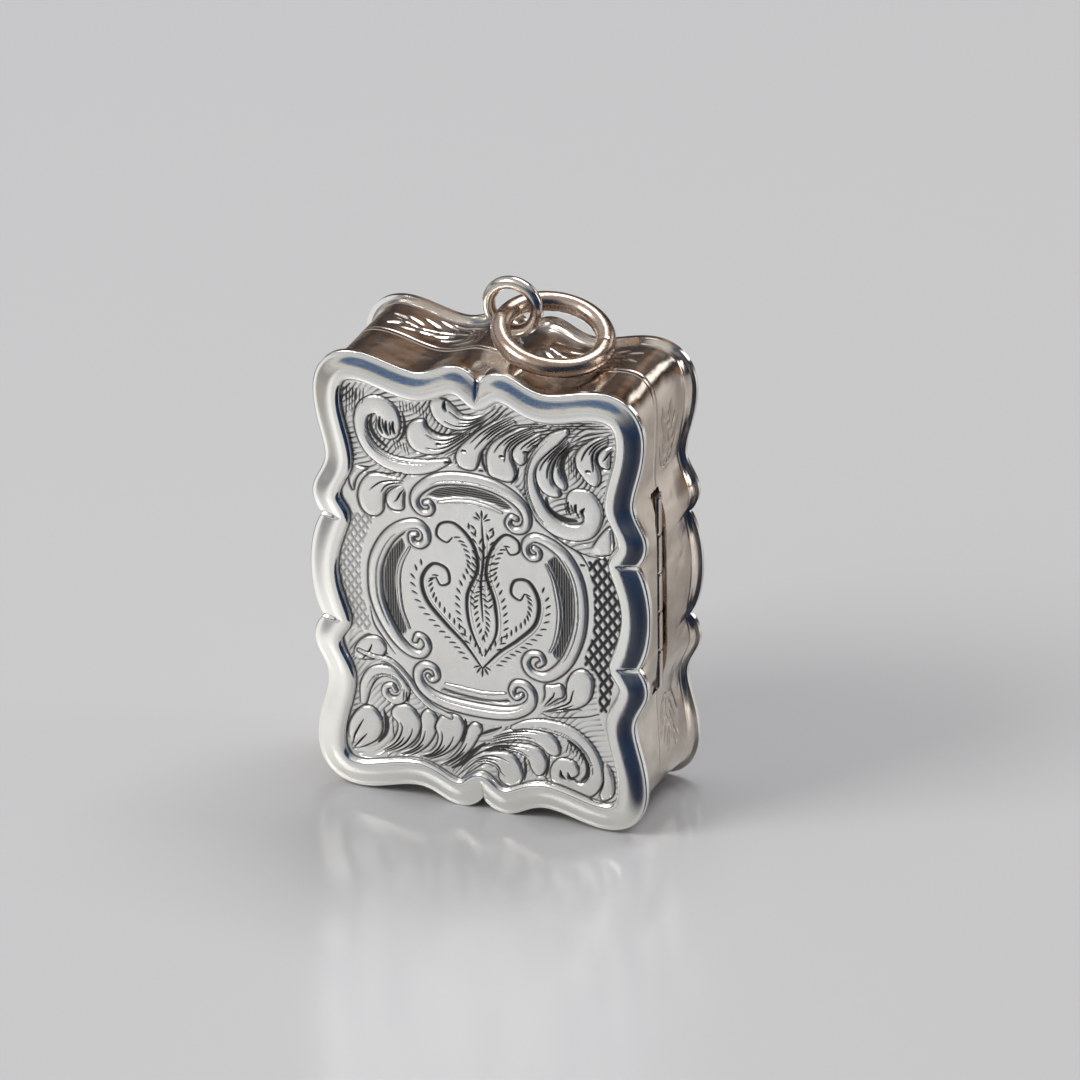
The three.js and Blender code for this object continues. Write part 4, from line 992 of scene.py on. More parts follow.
def engraved_skin(relief, side, names, body, node, finish_name):
    """The plate's engraved face, in as many pieces as there are names, from the top down."""
    ring = np.concatenate([INNER, INNER[:1]])
    whole = slice(0, len(relief.up)), slice(0, len(relief.across))
    _, near, _ = relief.along(ring, 1.0, whole)
    _, deep, _ = relief.inside(INNER)
    inside = np.full(relief.x.shape, -1.0)
    inside[relief.window(INNER, OUTLINE_MARGIN)] = np.sign(deep)
    deep = np.minimum(near, 1.0) * inside
    soldered = np.clip(1 - np.clip(deep, 0, 1) / 0.2, 0, 1)
    height = relief.height * np.clip(deep / 0.25, 0, 1) - 0.05 * soldered
    dark = np.maximum(relief.dark, 0.85 * soldered)
    slope_z, slope_x = np.gradient(deep, relief.up, relief.across)
    short = np.clip(-SKIN_OVERLAP - deep, 0, CELL * 1.5)
    length = np.hypot(slope_x, slope_z) + 1e-9
    x = relief.x + short * slope_x / length
    z = relief.z + short * slope_z / length
    solid = deep > -SKIN_OVERLAP - CELL * 0.95
    kept = solid[:-1, :-1] & solid[1:, :-1] & solid[:-1, 1:] & solid[1:, 1:]
    y = side * (RIM_BACK + FIELD_RISE + height)
    rows = np.linspace(0, kept.shape[0], len(names) + 1).astype(int)[::-1]
    made = []
    for name, top, bottom in zip(names, rows, rows[1:]):
        part = kept[bottom:top]
        lines = slice(bottom, top + 1)
        skin = slab(name, x[lines], y[lines], z[lines], part, side * (RIM_BACK + SKIN_BACK), dark[lines])
        made.append(settle(skin, body, finish(finish_name), [node], crease=75))
    return made


def capped(name, loops):
    """A closed shape between a first and a last flat loop."""
    count = len(loops[0])
    faces = strips(len(loops), count).tolist()
    faces.append(list(range(count - 1, -1, -1)))
    faces.append(list(range((len(loops) - 1) * count, len(loops) * count)))
    return as_object(name, np.concatenate(loops), faces)


def plate_back(name, side, body):
    """The plate behind the engraving, with the flange that fits inside the wall."""
    field = INNER + 0.01 * (OUTER - INNER)
    flange = wall_border(WALL_THICKNESS + 0.02)
    edge = wall_border(WALL_THICKNESS + 0.1)
    obj = capped(name, [
        loop_at(field, side * (RIM_BACK + SKIN_BACK - 0.01)),
        loop_at(field, side * RIM_BACK),
        loop_at(flange, side * RIM_BACK),
        loop_at(flange, side * (RIM_BACK - FLANGE_THICKNESS + 0.08)),
        loop_at(edge, side * (RIM_BACK - FLANGE_THICKNESS)),
    ])
    return settle(obj, body, finish("gilt"))


RIM_SECTION = (
    # share of the way from the inner edge to the outer one, and height above the flat back
    (0, 0.3), (0, 0.62), (0.03, 0.76), (0.09, 0.87), (0.17, 0.92), (0.28, 0.915), (0.4, 0.87), (0.52, 0.79),
    (0.64, 0.685), (0.76, 0.57), (0.86, 0.49), (0.93, 0.465), (0.975, 0.45), (1, 0.39), (1, 0.3),
)
MITRE_REACH = 0.24  # half width of the crease at each re-entrant point
MITRE_DEPTH = 0.16


def mitre_crease(along):
    """For each point round a border, how close it is to a re-entrant point, from 0 to 1."""
    corners = [(HALF_WIDTH - 1.05, 4.45), (0, HALF_HEIGHT - 1.0)]
    near = np.full(len(along), 9.0)
    for cx, cz in corners:
        for sx in (1, -1):
            for sz in (1, -1):
                near = np.minimum(near, np.hypot(along[:, 0] - sx * cx, along[:, 1] - sz * cz))
    return np.clip(1 - near / MITRE_REACH, 0, 1)


def rim(name, side, body, node):
    """The moulded border: a smooth roll with a creased mitre at each re-entrant point."""
    knots = np.array(RIM_SECTION)
    section = np.concatenate([[(0, 0)], spline(knots, 0.045), [(1, 0)]])
    crease = mitre_crease(OUTER)
    loops = []
    for share, rise in section:
        border = INNER + share * (OUTER - INNER)
        sunk = MITRE_DEPTH * crease * np.clip((share - 0.25) / 0.5, 0, 1) * np.clip(rise / 0.4, 0, 1)
        loops.append(loop_at(border, side * (RIM_BACK + np.maximum(rise - sunk, 0))))
    faces = strips(len(loops), len(OUTER), True)
    obj = as_object(name, np.concatenate(loops), faces.tolist())
    return settle(obj, body, finish("rim silver"), [node], crease=40)


def rabbet_cutter():
    """The channel along the seam that the hinge's tubes lie in."""
    low = HINGE_X - CHANNEL_INSIDE, SEAM_Y - CHANNEL_DEEP, CENTRE_Z - CHANNEL_HALF
    return block("channel", low, (HALF_WIDTH + 1, SEAM_Y + CHANNEL_DEEP, CENTRE_Z + CHANNEL_HALF))


def edge_recess():
    """The shallow step on the lid's side of the channel, which leaves the tubes in view."""
    low = HINGE_X + RECESS_OUTSIDE, SEAM_Y - RECESS_FAR, CENTRE_Z - RECESS_HALF
    return block("recess", low, (HALF_WIDTH + 1, SEAM_Y - RECESS_NEAR, CENTRE_Z + RECESS_HALF))


def wall(name, side, body, node, finer, rows):
    """One half of the case's wall, flaring to its rim, with its bright-cut sprays."""
    steps = tuple(finer * count for count in SPAN_STEPS)
    seam = SEAM_Y - (SEAM_GAP if side < 0 else 0)
    back = side * RIM_BACK
    outer = outer_border(steps)
    foot = outer + FLARE_SHARE * (inner_border(steps) - outer)
    plain = wall_border(0, steps)
    depths = np.concatenate([[0, 0.012], np.linspace(0.03, 1, rows)])
    relief = wall_cuts(plain, depths * abs(back - seam), finer > 1)
    outward = outward_of(plain)
    loops, tones = [], []
    for row, depth in enumerate(depths):
        inset = 0.05 if depth < 0.012 else 0.0
        border = plain + depth**5 * (foot - plain) + (relief.height[row] - inset)[:, None] * outward
        loops.append(loop_at(border, seam + (back - seam) * depth))
        tones.append(relief.dark[row])
    within = wall_border(WALL_THICKNESS, steps)
    for depth in (1.0, 0.0):
        loops.append(loop_at(within, seam + (back - seam) * depth))
        tones.append(np.zeros(len(within)))
    faces = strips(len(loops), len(plain), True)
    obj = as_object(name, np.concatenate(loops), faces.tolist(), {"tarnish": np.concatenate(tones)})
    cutters = [rabbet_cutter(), edge_recess()] if side < 0 else [rabbet_cutter()]
    cut_away(obj, *cutters)
    return settle(obj, body, finish("toned silver"), [node])


def outward_of(border):
    """Unit vectors that point out of a border at each of its points."""
    ahead = np.roll(border, -1, 0) - np.roll(border, 1, 0)
    out = np.column_stack([ahead[:, 1], -ahead[:, 0]])
    return out / (np.linalg.norm(out, axis=1)[:, None] + 1e-9)


def wall_cuts(border, depths, cut):
    """The wall's relief: across is the way round it, and up is the depth from the seam."""
    steps = np.linalg.norm(np.roll(border, -1, 0) - border, axis=1)
    reached = np.concatenate([[0], np.cumsum(steps)[:-1]])
    r = Relief(reached, depths)
    if not cut:
        return r
    around = steps.sum()
    roots = [(share * around, 2.3, 2.55, 8.2) for share in (0.25, 0.75)]
    roots += [(share * around, 9.6, 2.6, 5.2) for share in (0.0, 0.5, 1.0)]
    for middle, off, depth, reach in roots:
        for way in (-1, 1):
            spray(r, (middle + way * off, depth), way, reach)
    for line in (0.45, 5.0):
        near = np.clip(1 - np.abs(r.z - line) / 0.09, 0, 1)
        r.height -= 0.035 * near
        r.dark = np.maximum(r.dark, 0.5 * near)
    return r


def spray(r, root, turned, reach):
    """A bright-cut spray on the wall: a swaying stem with paired leaf cuts that shorten to its tip."""
    root, way = np.array(root, float), np.array((turned, 0.0))
    side = np.array([-way[1], way[0]])
    stem = spline([root, root + way * reach * 0.35 + side * 0.5, root + way * reach * 0.7 - side * 0.35,
                   root + way * reach], 0.15)
    r.cut(stem[::5], 0.24, 0.07, 0.7, 0.3)
    count = 6
    for i in range(count):
        at = stem[int((0.06 + 0.8 * i / (count - 1)) * (len(stem) - 1))]
        size = 1.75 * (1 - 0.5 * i / (count - 1))
        for turn in (-1, 1):
            tip = at + way * size * 1.2 + side * turn * size * 0.95
            for lift in (0.0, 0.22):
                start = at + way * lift
                middle = start + way * 0.15 * size + side * turn * size * 0.55
                r.cut([start, middle, tip + way * lift], 0.3, 0.08, 0.9, 0.3)


def bezel(name):
    """The inner lip that the lid closes over, open towards the hinge."""
    top, bottom = SEAM_Y - BEZEL_RISE, SEAM_Y + BEZEL_ROOT
    gap, thick = WALL_THICKNESS + BEZEL_CLEARANCE, BEZEL_THICKNESS
    rows = [(gap, bottom), (gap, top + 0.12), (gap + 0.05, top + 0.03), (gap + 0.175, top),
            (gap + 0.3, top + 0.03), (gap + thick, top + 0.12), (gap + thick, bottom)]
    loops = [loop_at(wall_border(inset), y) for inset, y in rows]
    faces = strips(len(loops), len(OUTER), True)
    obj = as_object(name, np.concatenate(loops), faces.tolist())
    cut_away(obj, block("hinge side", (9.0, top - 1, -1), (HALF_WIDTH, bottom + 1, 2 * CENTRE_Z + 1)))
    return settle(obj, "body", finish("gilt"), ["body_bezel"])


def torus(radius, wire, around, section, place, notch=None):
    """A wire ring's points and faces: place turns its points into the frame, notch is a join's angle."""
    turn = np.linspace(0, 2 * np.pi, around, endpoint=False)
    tube = np.linspace(0, 2 * np.pi, section, endpoint=False)
    a, b = np.meshgrid(turn, tube, indexing="ij")
    thick = np.full(a.shape, wire)
    if notch is not None:
        away = np.abs((a - notch + np.pi) % (2 * np.pi) - np.pi) * radius
        thick = thick - 0.1 * wire * np.clip(1 - away / 0.1, 0, 1)
    reach = radius + thick * np.cos(b)
    points = np.stack([reach * np.cos(a), reach * np.sin(a), thick * np.sin(b)], -1).reshape(-1, 3)
    return place(points), strips(around, section, True)


def ring(name, sizes):
    """The pendant ring, leaning to the front in its eye, with the join of its wire."""
    middle = eye_centre(sizes)
    radius = mm(sizes.ring_radius)
    slip, tilt, lean, join = (math.radians(a) for a in (RING_SLIP, RING_TILT, RING_LEAN, RING_JOIN))
    pivot = Matrix.Translation((-RING_SHIFT, middle.y, middle.z - RING_DROP))
    seat = pivot @ Matrix.Rotation(tilt, 4, "Y") @ Matrix.Rotation(lean, 4, "X")
    centre = Matrix.Translation((radius * math.cos(slip), -radius * math.sin(slip), 0))
    turned = np.array(seat @ centre)
    points, faces = torus(
        radius, mm(sizes.ring_wire), 160, 32, lambda p: p @ turned[:3, :3].T + turned[:3, 3], join)
    obj = as_object(name, points, faces.tolist())
    return settle(obj, "ring", finish("ring silver"), ["suspension_ring"])


def eye_centre(sizes):
    """The middle of the eye's wire."""
    return Vector((0, SEAM_Y + EYE_SETBACK, WALL_TOP + EYE_STEM + mm(sizes.eye_radius) + mm(sizes.eye_wire)))


def eye(name, sizes):
    """The loop of wire that the ring swings in, on a soldered foot."""
    centre = np.array(eye_centre(sizes))
    points, faces = torus(
        mm(sizes.eye_radius), mm(sizes.eye_wire), 128, 28,
        lambda p: np.column_stack([p[:, 0], p[:, 2], p[:, 1]]) + centre)
    loop = as_object(name, points, faces.tolist())
    turn = np.linspace(0, 2 * np.pi, 40, endpoint=False)
    profile = [(-0.3, 0.95), (0.0, 0.93), (0.08, 0.86), (0.2, 0.74), (0.36, 0.66), (0.6, 0.6), (0.8, 0.58),
               (1.0, 0.42)]
    loops = [
        np.column_stack(
            [r * np.cos(turn), centre[1] + 0.62 * r * np.sin(turn), np.full(40, WALL_TOP + rise)])
        for rise, r in profile
    ]
    foot = capped("foot", loops)
    union = loop.modifiers.new("foot", "BOOLEAN")
    union.operation, union.solver, union.object = "UNION", "EXACT", foot
    evaluated(loop)
    bpy.data.objects.remove(foot)
    return settle(loop, "body", finish("eye silver"), ["suspension_eye"], crease=50)


# Repeated pieces, by Geometry Nodes


class Tree(Shader):
    """A Geometry Nodes tree in the making, with named inputs."""

    def __init__(self, name, inputs):
        self.tree = self.owner = bpy.data.node_groups.new(name, "GeometryNodeTree")
        self.tree.interface.new_socket("Geometry", in_out="OUTPUT", socket_type="NodeSocketGeometry")
        for label, kind, default in inputs:
            made = self.tree.interface.new_socket(label, in_out="INPUT", socket_type=kind)
            if default is not None:
                made.default_value = default
        self.given = self.tree.nodes.new("NodeGroupInput")

    def given_term(self, label):
        return Term(self.tree, self.given.outputs[label])

    def ends_in(self, geometry, material):
        """Realizes the instances, sets the material, and ends the tree."""
        real = self.node("GeometryNodeRealizeInstances", None, {0: geometry})
        faced = self.node(
            "GeometryNodeSetMaterial", None, {"Geometry": real.outputs[0], "Material": material})
        self.node("NodeGroupOutput", None, {0: faced.outputs[0]})
        return self.tree


def grown(name, tree, values):
    """A plain mesh object that a tree makes from the values of its named inputs."""
    obj = bpy.data.objects.new(name, bpy.data.meshes.new(name))
    bpy.context.scene.collection.objects.link(obj)
    modifier = obj.modifiers.new("nodes", "NODES")
    modifier.node_group = tree
    for item in tree.interface.items_tree:
        if item.item_type == "SOCKET" and item.in_out == "INPUT" and item.name in values:
            modifier[item.identifier] = values[item.name]
    return evaluated(obj)


def tube_tree(name):
    """A row of hinge tubes with eased ends, each with the foot that seats it in its channel."""
    number, place = "NodeSocketFloat", "NodeSocketVector"
    t = Tree(name, [
        ("Count", "NodeSocketInt", 2), ("First", place, None), ("Pitch", number, 1.0),
        ("Length", number, 1.0), ("Radius", number, 1.0), ("Foot Middle", place, None),
        ("Foot Size", place, None), ("Material", "NodeSocketMaterial", None)])
    length, radius = t.given_term("Length"), t.given_term("Radius")
    up = t.node("ShaderNodeCombineXYZ", None, {"Z": length * 0.5}).outputs[0]
    down = t.node("ShaderNodeCombineXYZ", None, {"Z": length * -0.5}).outputs[0]
    line = t.node("GeometryNodeCurvePrimitiveLine", None, {"Start": down, "End": up})
    fine = t.node("GeometryNodeResampleCurve", None, {"Curve": line.outputs[0], "Count": 33})
    share = t.term(t.node("GeometryNodeSplineParameter"))
    from_end = (share.at_most(1.0 - share) / 0.07).at_most(1.0)
    eased = 1.0 - (1.0 - from_end) ** 2.0 * 0.16
    sized = t.node("GeometryNodeSetCurveRadius", None, {"Curve": fine.outputs[0], "Radius": radius * eased})
    circle = t.node("GeometryNodeCurvePrimitiveCircle", None, {"Resolution": 36, "Radius": 1.0})
    scale = {"Curve": sized.outputs[0], "Profile Curve": circle.outputs[0], "Fill Caps": True}
    scale["Scale"] = radius * eased
    tube = t.node("GeometryNodeCurveToMesh", None, scale)
    foot = t.node("GeometryNodeMeshCube", None, {"Size": t.given_term("Foot Size")})
    seated = t.node("GeometryNodeTransform", None, {
        "Geometry": foot.outputs[0], "Translation": t.given_term("Foot Middle")})
    both = t.node("GeometryNodeJoinGeometry")
    for part in (tube, seated):
        t.tree.links.new(part.outputs[0], both.inputs[0])
    step = t.node("ShaderNodeCombineXYZ", None, {"Z": t.given_term("Pitch")}).outputs[0]
    row = t.node("GeometryNodeMeshLine", None, {
        "Count": t.given_term("Count"), "Start Location": t.given_term("First"), "Offset": step})
    placed = t.node("GeometryNodeInstanceOnPoints", None, {
        "Points": row.outputs[0], "Instance": both.outputs[0]})
    return t.ends_in(placed.outputs[0], t.given_term("Material"))


def hinge_tubes(tree, name, body, radius, first, nodes):
    """One body's share of the hinge's five tubes: every second one from the first."""
    side = -1 if body == "lid" else 1
    low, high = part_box(nodes[0])
    length = (high.z - low.z) / MM
    pitch = length + TUBE_GAP
    middle_z = CENTRE_Z + (first - 2) * pitch
    foot_low, foot_high = -0.4, 0.12
    obj = grown(name, tree, {
        "Count": len(nodes), "First": (HINGE_X * MM, SEAM_Y * MM, middle_z * MM), "Pitch": 2 * pitch * MM,
        "Length": length * MM, "Radius": radius * MM,
        "Foot Middle": ((foot_low + foot_high) / 2 * MM, side * 0.4 * MM, 0),
        "Foot Size": ((foot_high - foot_low) * MM, 0.8 * MM, length * 0.985 * MM),
        "Material": finish("hinge silver")})
    return settle(obj, body, finish("hinge silver"), nodes, crease=40)


def bead_tree(name):
    """Small raised collars along a line of points, all alike."""
    t = Tree(name, [
        ("Line", "NodeSocketObject", None), ("Count", "NodeSocketInt", 20),
        ("Radius", "NodeSocketFloat", 1.0), ("Wire", "NodeSocketFloat", 1.0),
        ("Material", "NodeSocketMaterial", None)])
    source = t.node(
        "GeometryNodeObjectInfo", {"transform_space": "ORIGINAL"}, {"Object": t.given_term("Line")})
    line = t.node("GeometryNodeMeshToCurve", None, {0: source.outputs["Geometry"]})
    places = t.node("GeometryNodeCurveToPoints", {"mode": "COUNT"}, {
        0: line.outputs[0], "Count": t.given_term("Count")})
    path, wire = (
        t.node("GeometryNodeCurvePrimitiveCircle", None, {"Resolution": count, "Radius": t.given_term(size)})
        for count, size in ((10, "Radius"), (5, "Wire")))
    collar = t.node("GeometryNodeCurveToMesh", None, {
        "Curve": path.outputs[0], "Profile Curve": wire.outputs[0]})
    stood = t.node("GeometryNodeTransform", None, {
        "Geometry": collar.outputs[0], "Rotation": (math.pi / 2, 0, 0)})
    placed = t.node("GeometryNodeInstanceOnPoints", None, {
        "Points": places.outputs[0], "Instance": stood.outputs[0]})
    return t.ends_in(placed.outputs[0], t.given_term("Material"))


def grille_border(inset):
    """The grille's border, straight beside its hinge."""
    border = wall_border(WALL_THICKNESS + BEZEL_CLEARANCE + BEZEL_THICKNESS + 0.12 + inset)
    border[:, 0] = np.minimum(border[:, 0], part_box("grille_plate")[1].x / MM - inset)
    return border


def grille(name, sizes):
    """The pierced grille with rounded edges, and a row of collars along its border."""
    plate = softened("grille_plate", name, mm(sizes.grille_rounding))
    settle(plate, "grille", finish("gilt"), ["grille_plate"], crease=18)
    track = grille_border(1.05)
    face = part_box("grille_plate")[0].y / MM
    line = bpy.data.objects.new("track", bpy.data.meshes.new("track"))
    count = len(track)
    edges = [(i, (i + 1) % count) for i in range(count)]
    line.data.from_pydata(loop_at(track, face) * MM, edges, [])
    bpy.context.scene.collection.objects.link(line)
    reach = np.linalg.norm(np.roll(track, -1, 0) - track, axis=1).sum()
    collars = grown(name + "_collars", bead_tree("border collars"), {
        "Line": line, "Count": round(reach / mm(sizes.collar_pitch)), "Radius": mm(sizes.collar_radius) * MM,
        "Wire": mm(sizes.collar_wire) * MM, "Material": finish("gilt")})
    bpy.data.objects.remove(line)
    return settle(collars, "grille", finish("gilt"), crease=60)


def sponge(name, sizes):
    """A slice of dry natural sponge, full of pores."""
    obj = bpy.data.objects.new(name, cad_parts["sponge"].data.copy())
    bpy.context.scene.collection.objects.link(obj)
    remesh = obj.modifiers.new("even", "REMESH")
    remesh.mode, remesh.voxel_size = "VOXEL", mm(sizes.sponge_grain) * MM
    evaluated(obj)
    mesh = obj.data
    count = len(mesh.vertices)
    places, normals = np.zeros(count * 3, np.float32), np.zeros(count * 3, np.float32)
    mesh.vertices.foreach_get("co", places)
    mesh.vertices.foreach_get("normal", normals)
    places, normals = places.reshape(-1, 3).astype(float) / MM, normals.reshape(-1, 3).astype(float)
    rng = np.random.default_rng(7)
    sunk = np.zeros(count)
    for _ in range(sizes.sponge_pores):
        centre = places[rng.integers(count)]
        radius = rng.uniform(0.25, 0.9) if rng.random() < 0.35 else rng.uniform(0.2, 0.4)
        away = np.linalg.norm(places - centre, axis=1) / radius
        sunk = np.maximum(sunk, 0.7 * radius * np.sqrt(np.clip(1 - away**2, 0, 1)))
    sunk += rng.uniform(0, 0.07, count)
    places -= normals * sunk[:, None]
    mesh.vertices.foreach_set("co", (places * MM).astype(np.float32).ravel())
    mesh.update()
    settle(obj, "body", finish("sponge"), ["sponge"], crease=180)
    return obj


# Stage

FLOOR_REACH = 2.0  # from the middle to each side, in metres


def area_light(name, place, target, size, power, colour):
    """A soft four-sided lamp that looks at a target. Places and sizes are in metres."""
    lamp = bpy.data.lights.new(name, "AREA")
    lamp.shape, lamp.energy, lamp.color = "RECTANGLE", power, colour
    lamp.size, lamp.size_y = size
    obj = bpy.data.objects.new(name, lamp)
    obj.visible_camera = False
    bpy.context.scene.collection.objects.link(obj)
    obj.location = place
    obj.rotation_euler = (Vector(target) - Vector(place)).to_track_quat("-Z", "Y").to_euler()


def camera():
    """The camera at the photograph's angle."""
    azimuth, elevation, roll = (math.radians(a) for a in (VIEW_AZIMUTH, VIEW_ELEVATION, VIEW_ROLL))
    level = math.cos(elevation)
    back = Vector((math.sin(azimuth) * level, -math.cos(azimuth) * level, math.sin(elevation)))
    right = Vector((math.cos(azimuth), math.sin(azimuth), 0))
    up = back.cross(right)
    across = right * math.cos(roll) + up * math.sin(roll)
    upward = up * math.cos(roll) - right * math.sin(roll)
    centre = Vector((0, 0, CENTRE_Z * MM)) + across * VIEW_SHIFT[0] * MM + upward * VIEW_SHIFT[1] * MM
    data = bpy.data.cameras.new("camera")
    data.lens, data.sensor_width, data.clip_start, data.clip_end = 550, 36, 0.05, 20
    obj = bpy.data.objects.new("camera", data)
    turn = Matrix((across, upward, back)).transposed().to_4x4()
    obj.matrix_world = Matrix.Translation(centre + back * VIEW_DISTANCE) @ turn
    bpy.context.scene.collection.objects.link(obj)
    bpy.context.scene.camera = obj


def floor_material(colour):
    """A plain pale surface with a soft gloss; glossy rays see painted reflections on it, darker patches and
    a pale band round the case.
    """
    s = Shader(bpy.data.materials.new("floor"))
    haze = s.noise(0.01, detail=2.0)
    where = s.node("ShaderNodeTexCoord").outputs["Object"]
    parts = s.node("ShaderNodeSeparateXYZ", None, {0: where})
    x, y = s.term(parts, 0) / MM, s.term(parts, 1) / MM
    # painted reflection: a dark navy patch right of the case, which only glossy rays see
    right_of_case = s.between(x - 13.5 - (y + 7.5) * 0.09, -2.0, 2.0)
    painted_navy_reflection = right_of_case * s.between(y * -1.0 - (x - 14.0) * 0.25, 4.5, 7.0)
    # painted reflections: brown behind the case, a pale glow band round it and darker grey beyond it
    behind = s.between(y, 8.0, 30.0) * s.between(x, 5.0, 25.0)
    beyond = x * -1.0 + y * 0.6
    painted_glow_band = s.within(beyond, (2.0, 14.0), (22.0, 36.0))
    seen = s.mix(painted_glow_band, (0.68, 0.68, 0.67, 1), (0.93, 0.92, 0.88, 1))
    seen = s.mix(s.between(beyond, 28.0, 52.0), seen, (0.34, 0.32, 0.29, 1))
    seen = s.mix(behind, seen, (0.43, 0.408, 0.386, 1))
    seen = s.mix(painted_navy_reflection, seen, (0.008, 0.014, 0.034, 1))
    # glossy rays see the painted reflections, and other rays see the plain floor colour
    mirrored_in_metal = s.term(s.node("ShaderNodeLightPath"), "Is Glossy Ray")
    base = s.mix(mirrored_in_metal, rgb(colour), seen)
    return s.surface({"Base Color": base, "Roughness": s.between(haze, 0.3, 0.7, 0.13, 0.18)})


def studio_world(bright):
    """A soft room: pale to the left, blue-grey in front and above, and dark at the right and behind."""
    world = bpy.data.worlds.new("studio")
    bpy.context.scene.world = world
    s = Shader(world)
    where = s.node("ShaderNodeTexCoord").outputs["Generated"]
    parts = s.node("ShaderNodeSeparateXYZ", None, {0: where})
    x, y, z = (s.term(parts, i) for i in range(3))
    left = s.between(x * -1.0 + y * -0.3, -0.25, 0.7)
    side = s.mix(left, (0.02, 0.035, 0.075, 1), (0.9, 0.88, 0.83, 1))
    streak = s.within(z, (0.15, 0.2), (0.32, 0.4))
    room = s.mix(streak * 0.92, side, (0.035, 0.12, 0.28, 1))
    behind = s.between(y + x * 0.3, 0.15, 0.75)
    cloudy = s.node("ShaderNodeTexNoise", None, {"Vector": where, "Scale": 2.6, "Detail": 2.0})
    amber = s.between(s.term(cloudy), 0.5, 0.66) * s.between(x, -0.7, -0.2, 0.5, 1.0)
    brown = s.mix(amber, (0.05, 0.035, 0.027, 1), (0.46, 0.24, 0.11, 1))
    room = s.mix(behind * 0.9, room, brown)
    high = s.between(z, 0.5, 0.85)
    room = s.mix(high * 0.9, room, (0.8, 0.8, 0.8, 1))
    sheet = s.between(y * -1.0, 0.1, 0.4) * s.within(z, (0.38, 0.45), (0.75, 0.9))
    sheet = sheet * (1.0 - s.between(x, 0.1, 0.4))
    room = s.mix(sheet * 0.8, room, (1.15, 1.13, 1.08, 1))
    window = s.within(x, (0.28, 0.31), (0.6, 0.63)) * s.within(z, (0.16, 0.19), (0.43, 0.46))
    window = window * s.between(y, 0.2, 0.3)
    room = s.mix(window, room, (2.4, 2.35, 2.25, 1))
    seen = s.term(s.node("ShaderNodeLightPath"), "Is Camera Ray")
    shown = s.mix(seen, room, (0.5, 0.5, 0.5, 1))
    back = s.node("ShaderNodeBackground", None, {"Color": shown, "Strength": bright})
    s.node("ShaderNodeOutputWorld", None, {"Surface": back.outputs[0]})


def stage(props):
    """Floor, lamps, world and camera."""
    mesh = bpy.data.meshes.new("floor")
    corners = [(-FLOOR_REACH, -FLOOR_REACH, 0), (FLOOR_REACH, -FLOOR_REACH, 0),
               (FLOOR_REACH, FLOOR_REACH, 0), (-FLOOR_REACH, FLOOR_REACH, 0)]
    mesh.from_pydata(corners, [], [(0, 1, 2, 3)])
    ground = bpy.data.objects.new("floor", mesh)
    ground.data.materials.append(floor_material(props.floor_colour))
    bpy.context.scene.collection.objects.link(ground)
    middle = (0, 0, CENTRE_Z * MM)
    area_light("key", (-0.4, -0.4, 0.55), middle, (0.3, 0.3), props.key_power, (1.0, 0.99, 0.97))
    area_light("top", (0.05, 0.3, 0.65), middle, (0.5, 0.25), props.top_power, (0.93, 0.96, 1.0))
    area_light("edge", (0.6, 0.2, 0.2), middle, (0.08, 0.35), props.edge_power, (1.0, 0.95, 0.88))
    studio_world(props.room_light)
    camera()
    bpy.context.scene.view_settings.view_transform = "Standard"


# The add-on


def a_length(name, description, size):
    """A size that a user can change, from its default in millimetres."""
    return bpy.props.FloatProperty(
        name=name, description=description, default=size * MM, min=0.01 * MM, precision=5, unit="LENGTH")


def a_colour(name, description, colour):
    """A colour that a user can change."""
    return bpy.props.FloatVectorProperty(
        name=name, description=description, default=colour, size=3, min=0, max=1, subtype="COLOR")


def mm(size):
    """A user's size in millimetres, to a tenth of a micrometre."""
    return round(size / MM, 4)


class SizeSettings(bpy.types.PropertyGroup):
    """Sizes of the case's small pieces."""

    ring_radius: a_length("Ring", "Radius of the ring, to the middle of its wire", 4.1)
    ring_wire: a_length("Ring's wire", "Radius of the ring's wire", 0.78)
    eye_radius: a_length("Eye", "Radius of the eye, to the middle of its wire", 2.02)
    eye_wire: a_length("Eye's wire", "Radius of the eye's wire", 0.52)
    tube_radius: a_length("Hinge tube", "Radius of the hinge's tubes", 0.42)
    hinge_rounding: a_length("Hinge edges", "Rounding of the hinge's bearers and the thumb lip", 0.1)
    grille_rounding: a_length("Grille edges", "Rounding of the grille and its hinge", 0.06)
    collar_pitch: a_length("Collar spacing", "Distance between the grille's collars", 2.1)
    collar_radius: a_length("Collar", "Radius of a collar on the grille", 0.56)
    collar_wire: a_length("Collar's wire", "Radius of a collar's wire", 0.09)
    sponge_grain: a_length("Sponge grain", "Distance between the sponge's points", 0.24)
    sponge_pores: bpy.props.IntProperty(
        name="Sponge pores", description="Number of pores in the sponge", default=1500, min=0)


class FinishSettings(bpy.types.PropertyGroup):
    """Colours of the case's metals."""

    silver: a_colour("Silver", "Clean silver", (0.9, 0.895, 0.88))
    toning: a_colour("Toning", "Warm tone of handled silver", (0.5, 0.43, 0.36))
    gilt: a_colour("Gilt", "Silver-gilt of the grille", (0.9, 0.66, 0.3))
    sponge: a_colour("Sponge", "Dry sponge", (0.72, 0.53, 0.28))


class StageSettings(bpy.types.PropertyGroup):
    """Floor and lamps."""

    floor_colour: a_colour("Floor", "Colour of the floor", (0.6, 0.6, 0.605))
    key_power: bpy.props.FloatProperty(
        name="Key lamp", description="Power of the lamp at the front left", default=2.6, min=0, unit="POWER")
    top_power: bpy.props.FloatProperty(
        name="Top lamp", description="Power of the lamp overhead", default=2.2, min=0, unit="POWER")
    edge_power: bpy.props.FloatProperty(
        name="Edge lamp", description="Power of the lamp at the right", default=0.4, min=0, unit="POWER")
    room_light: bpy.props.FloatProperty(
        name="Room light", description="Strength of the world's light", default=0.7, min=0)


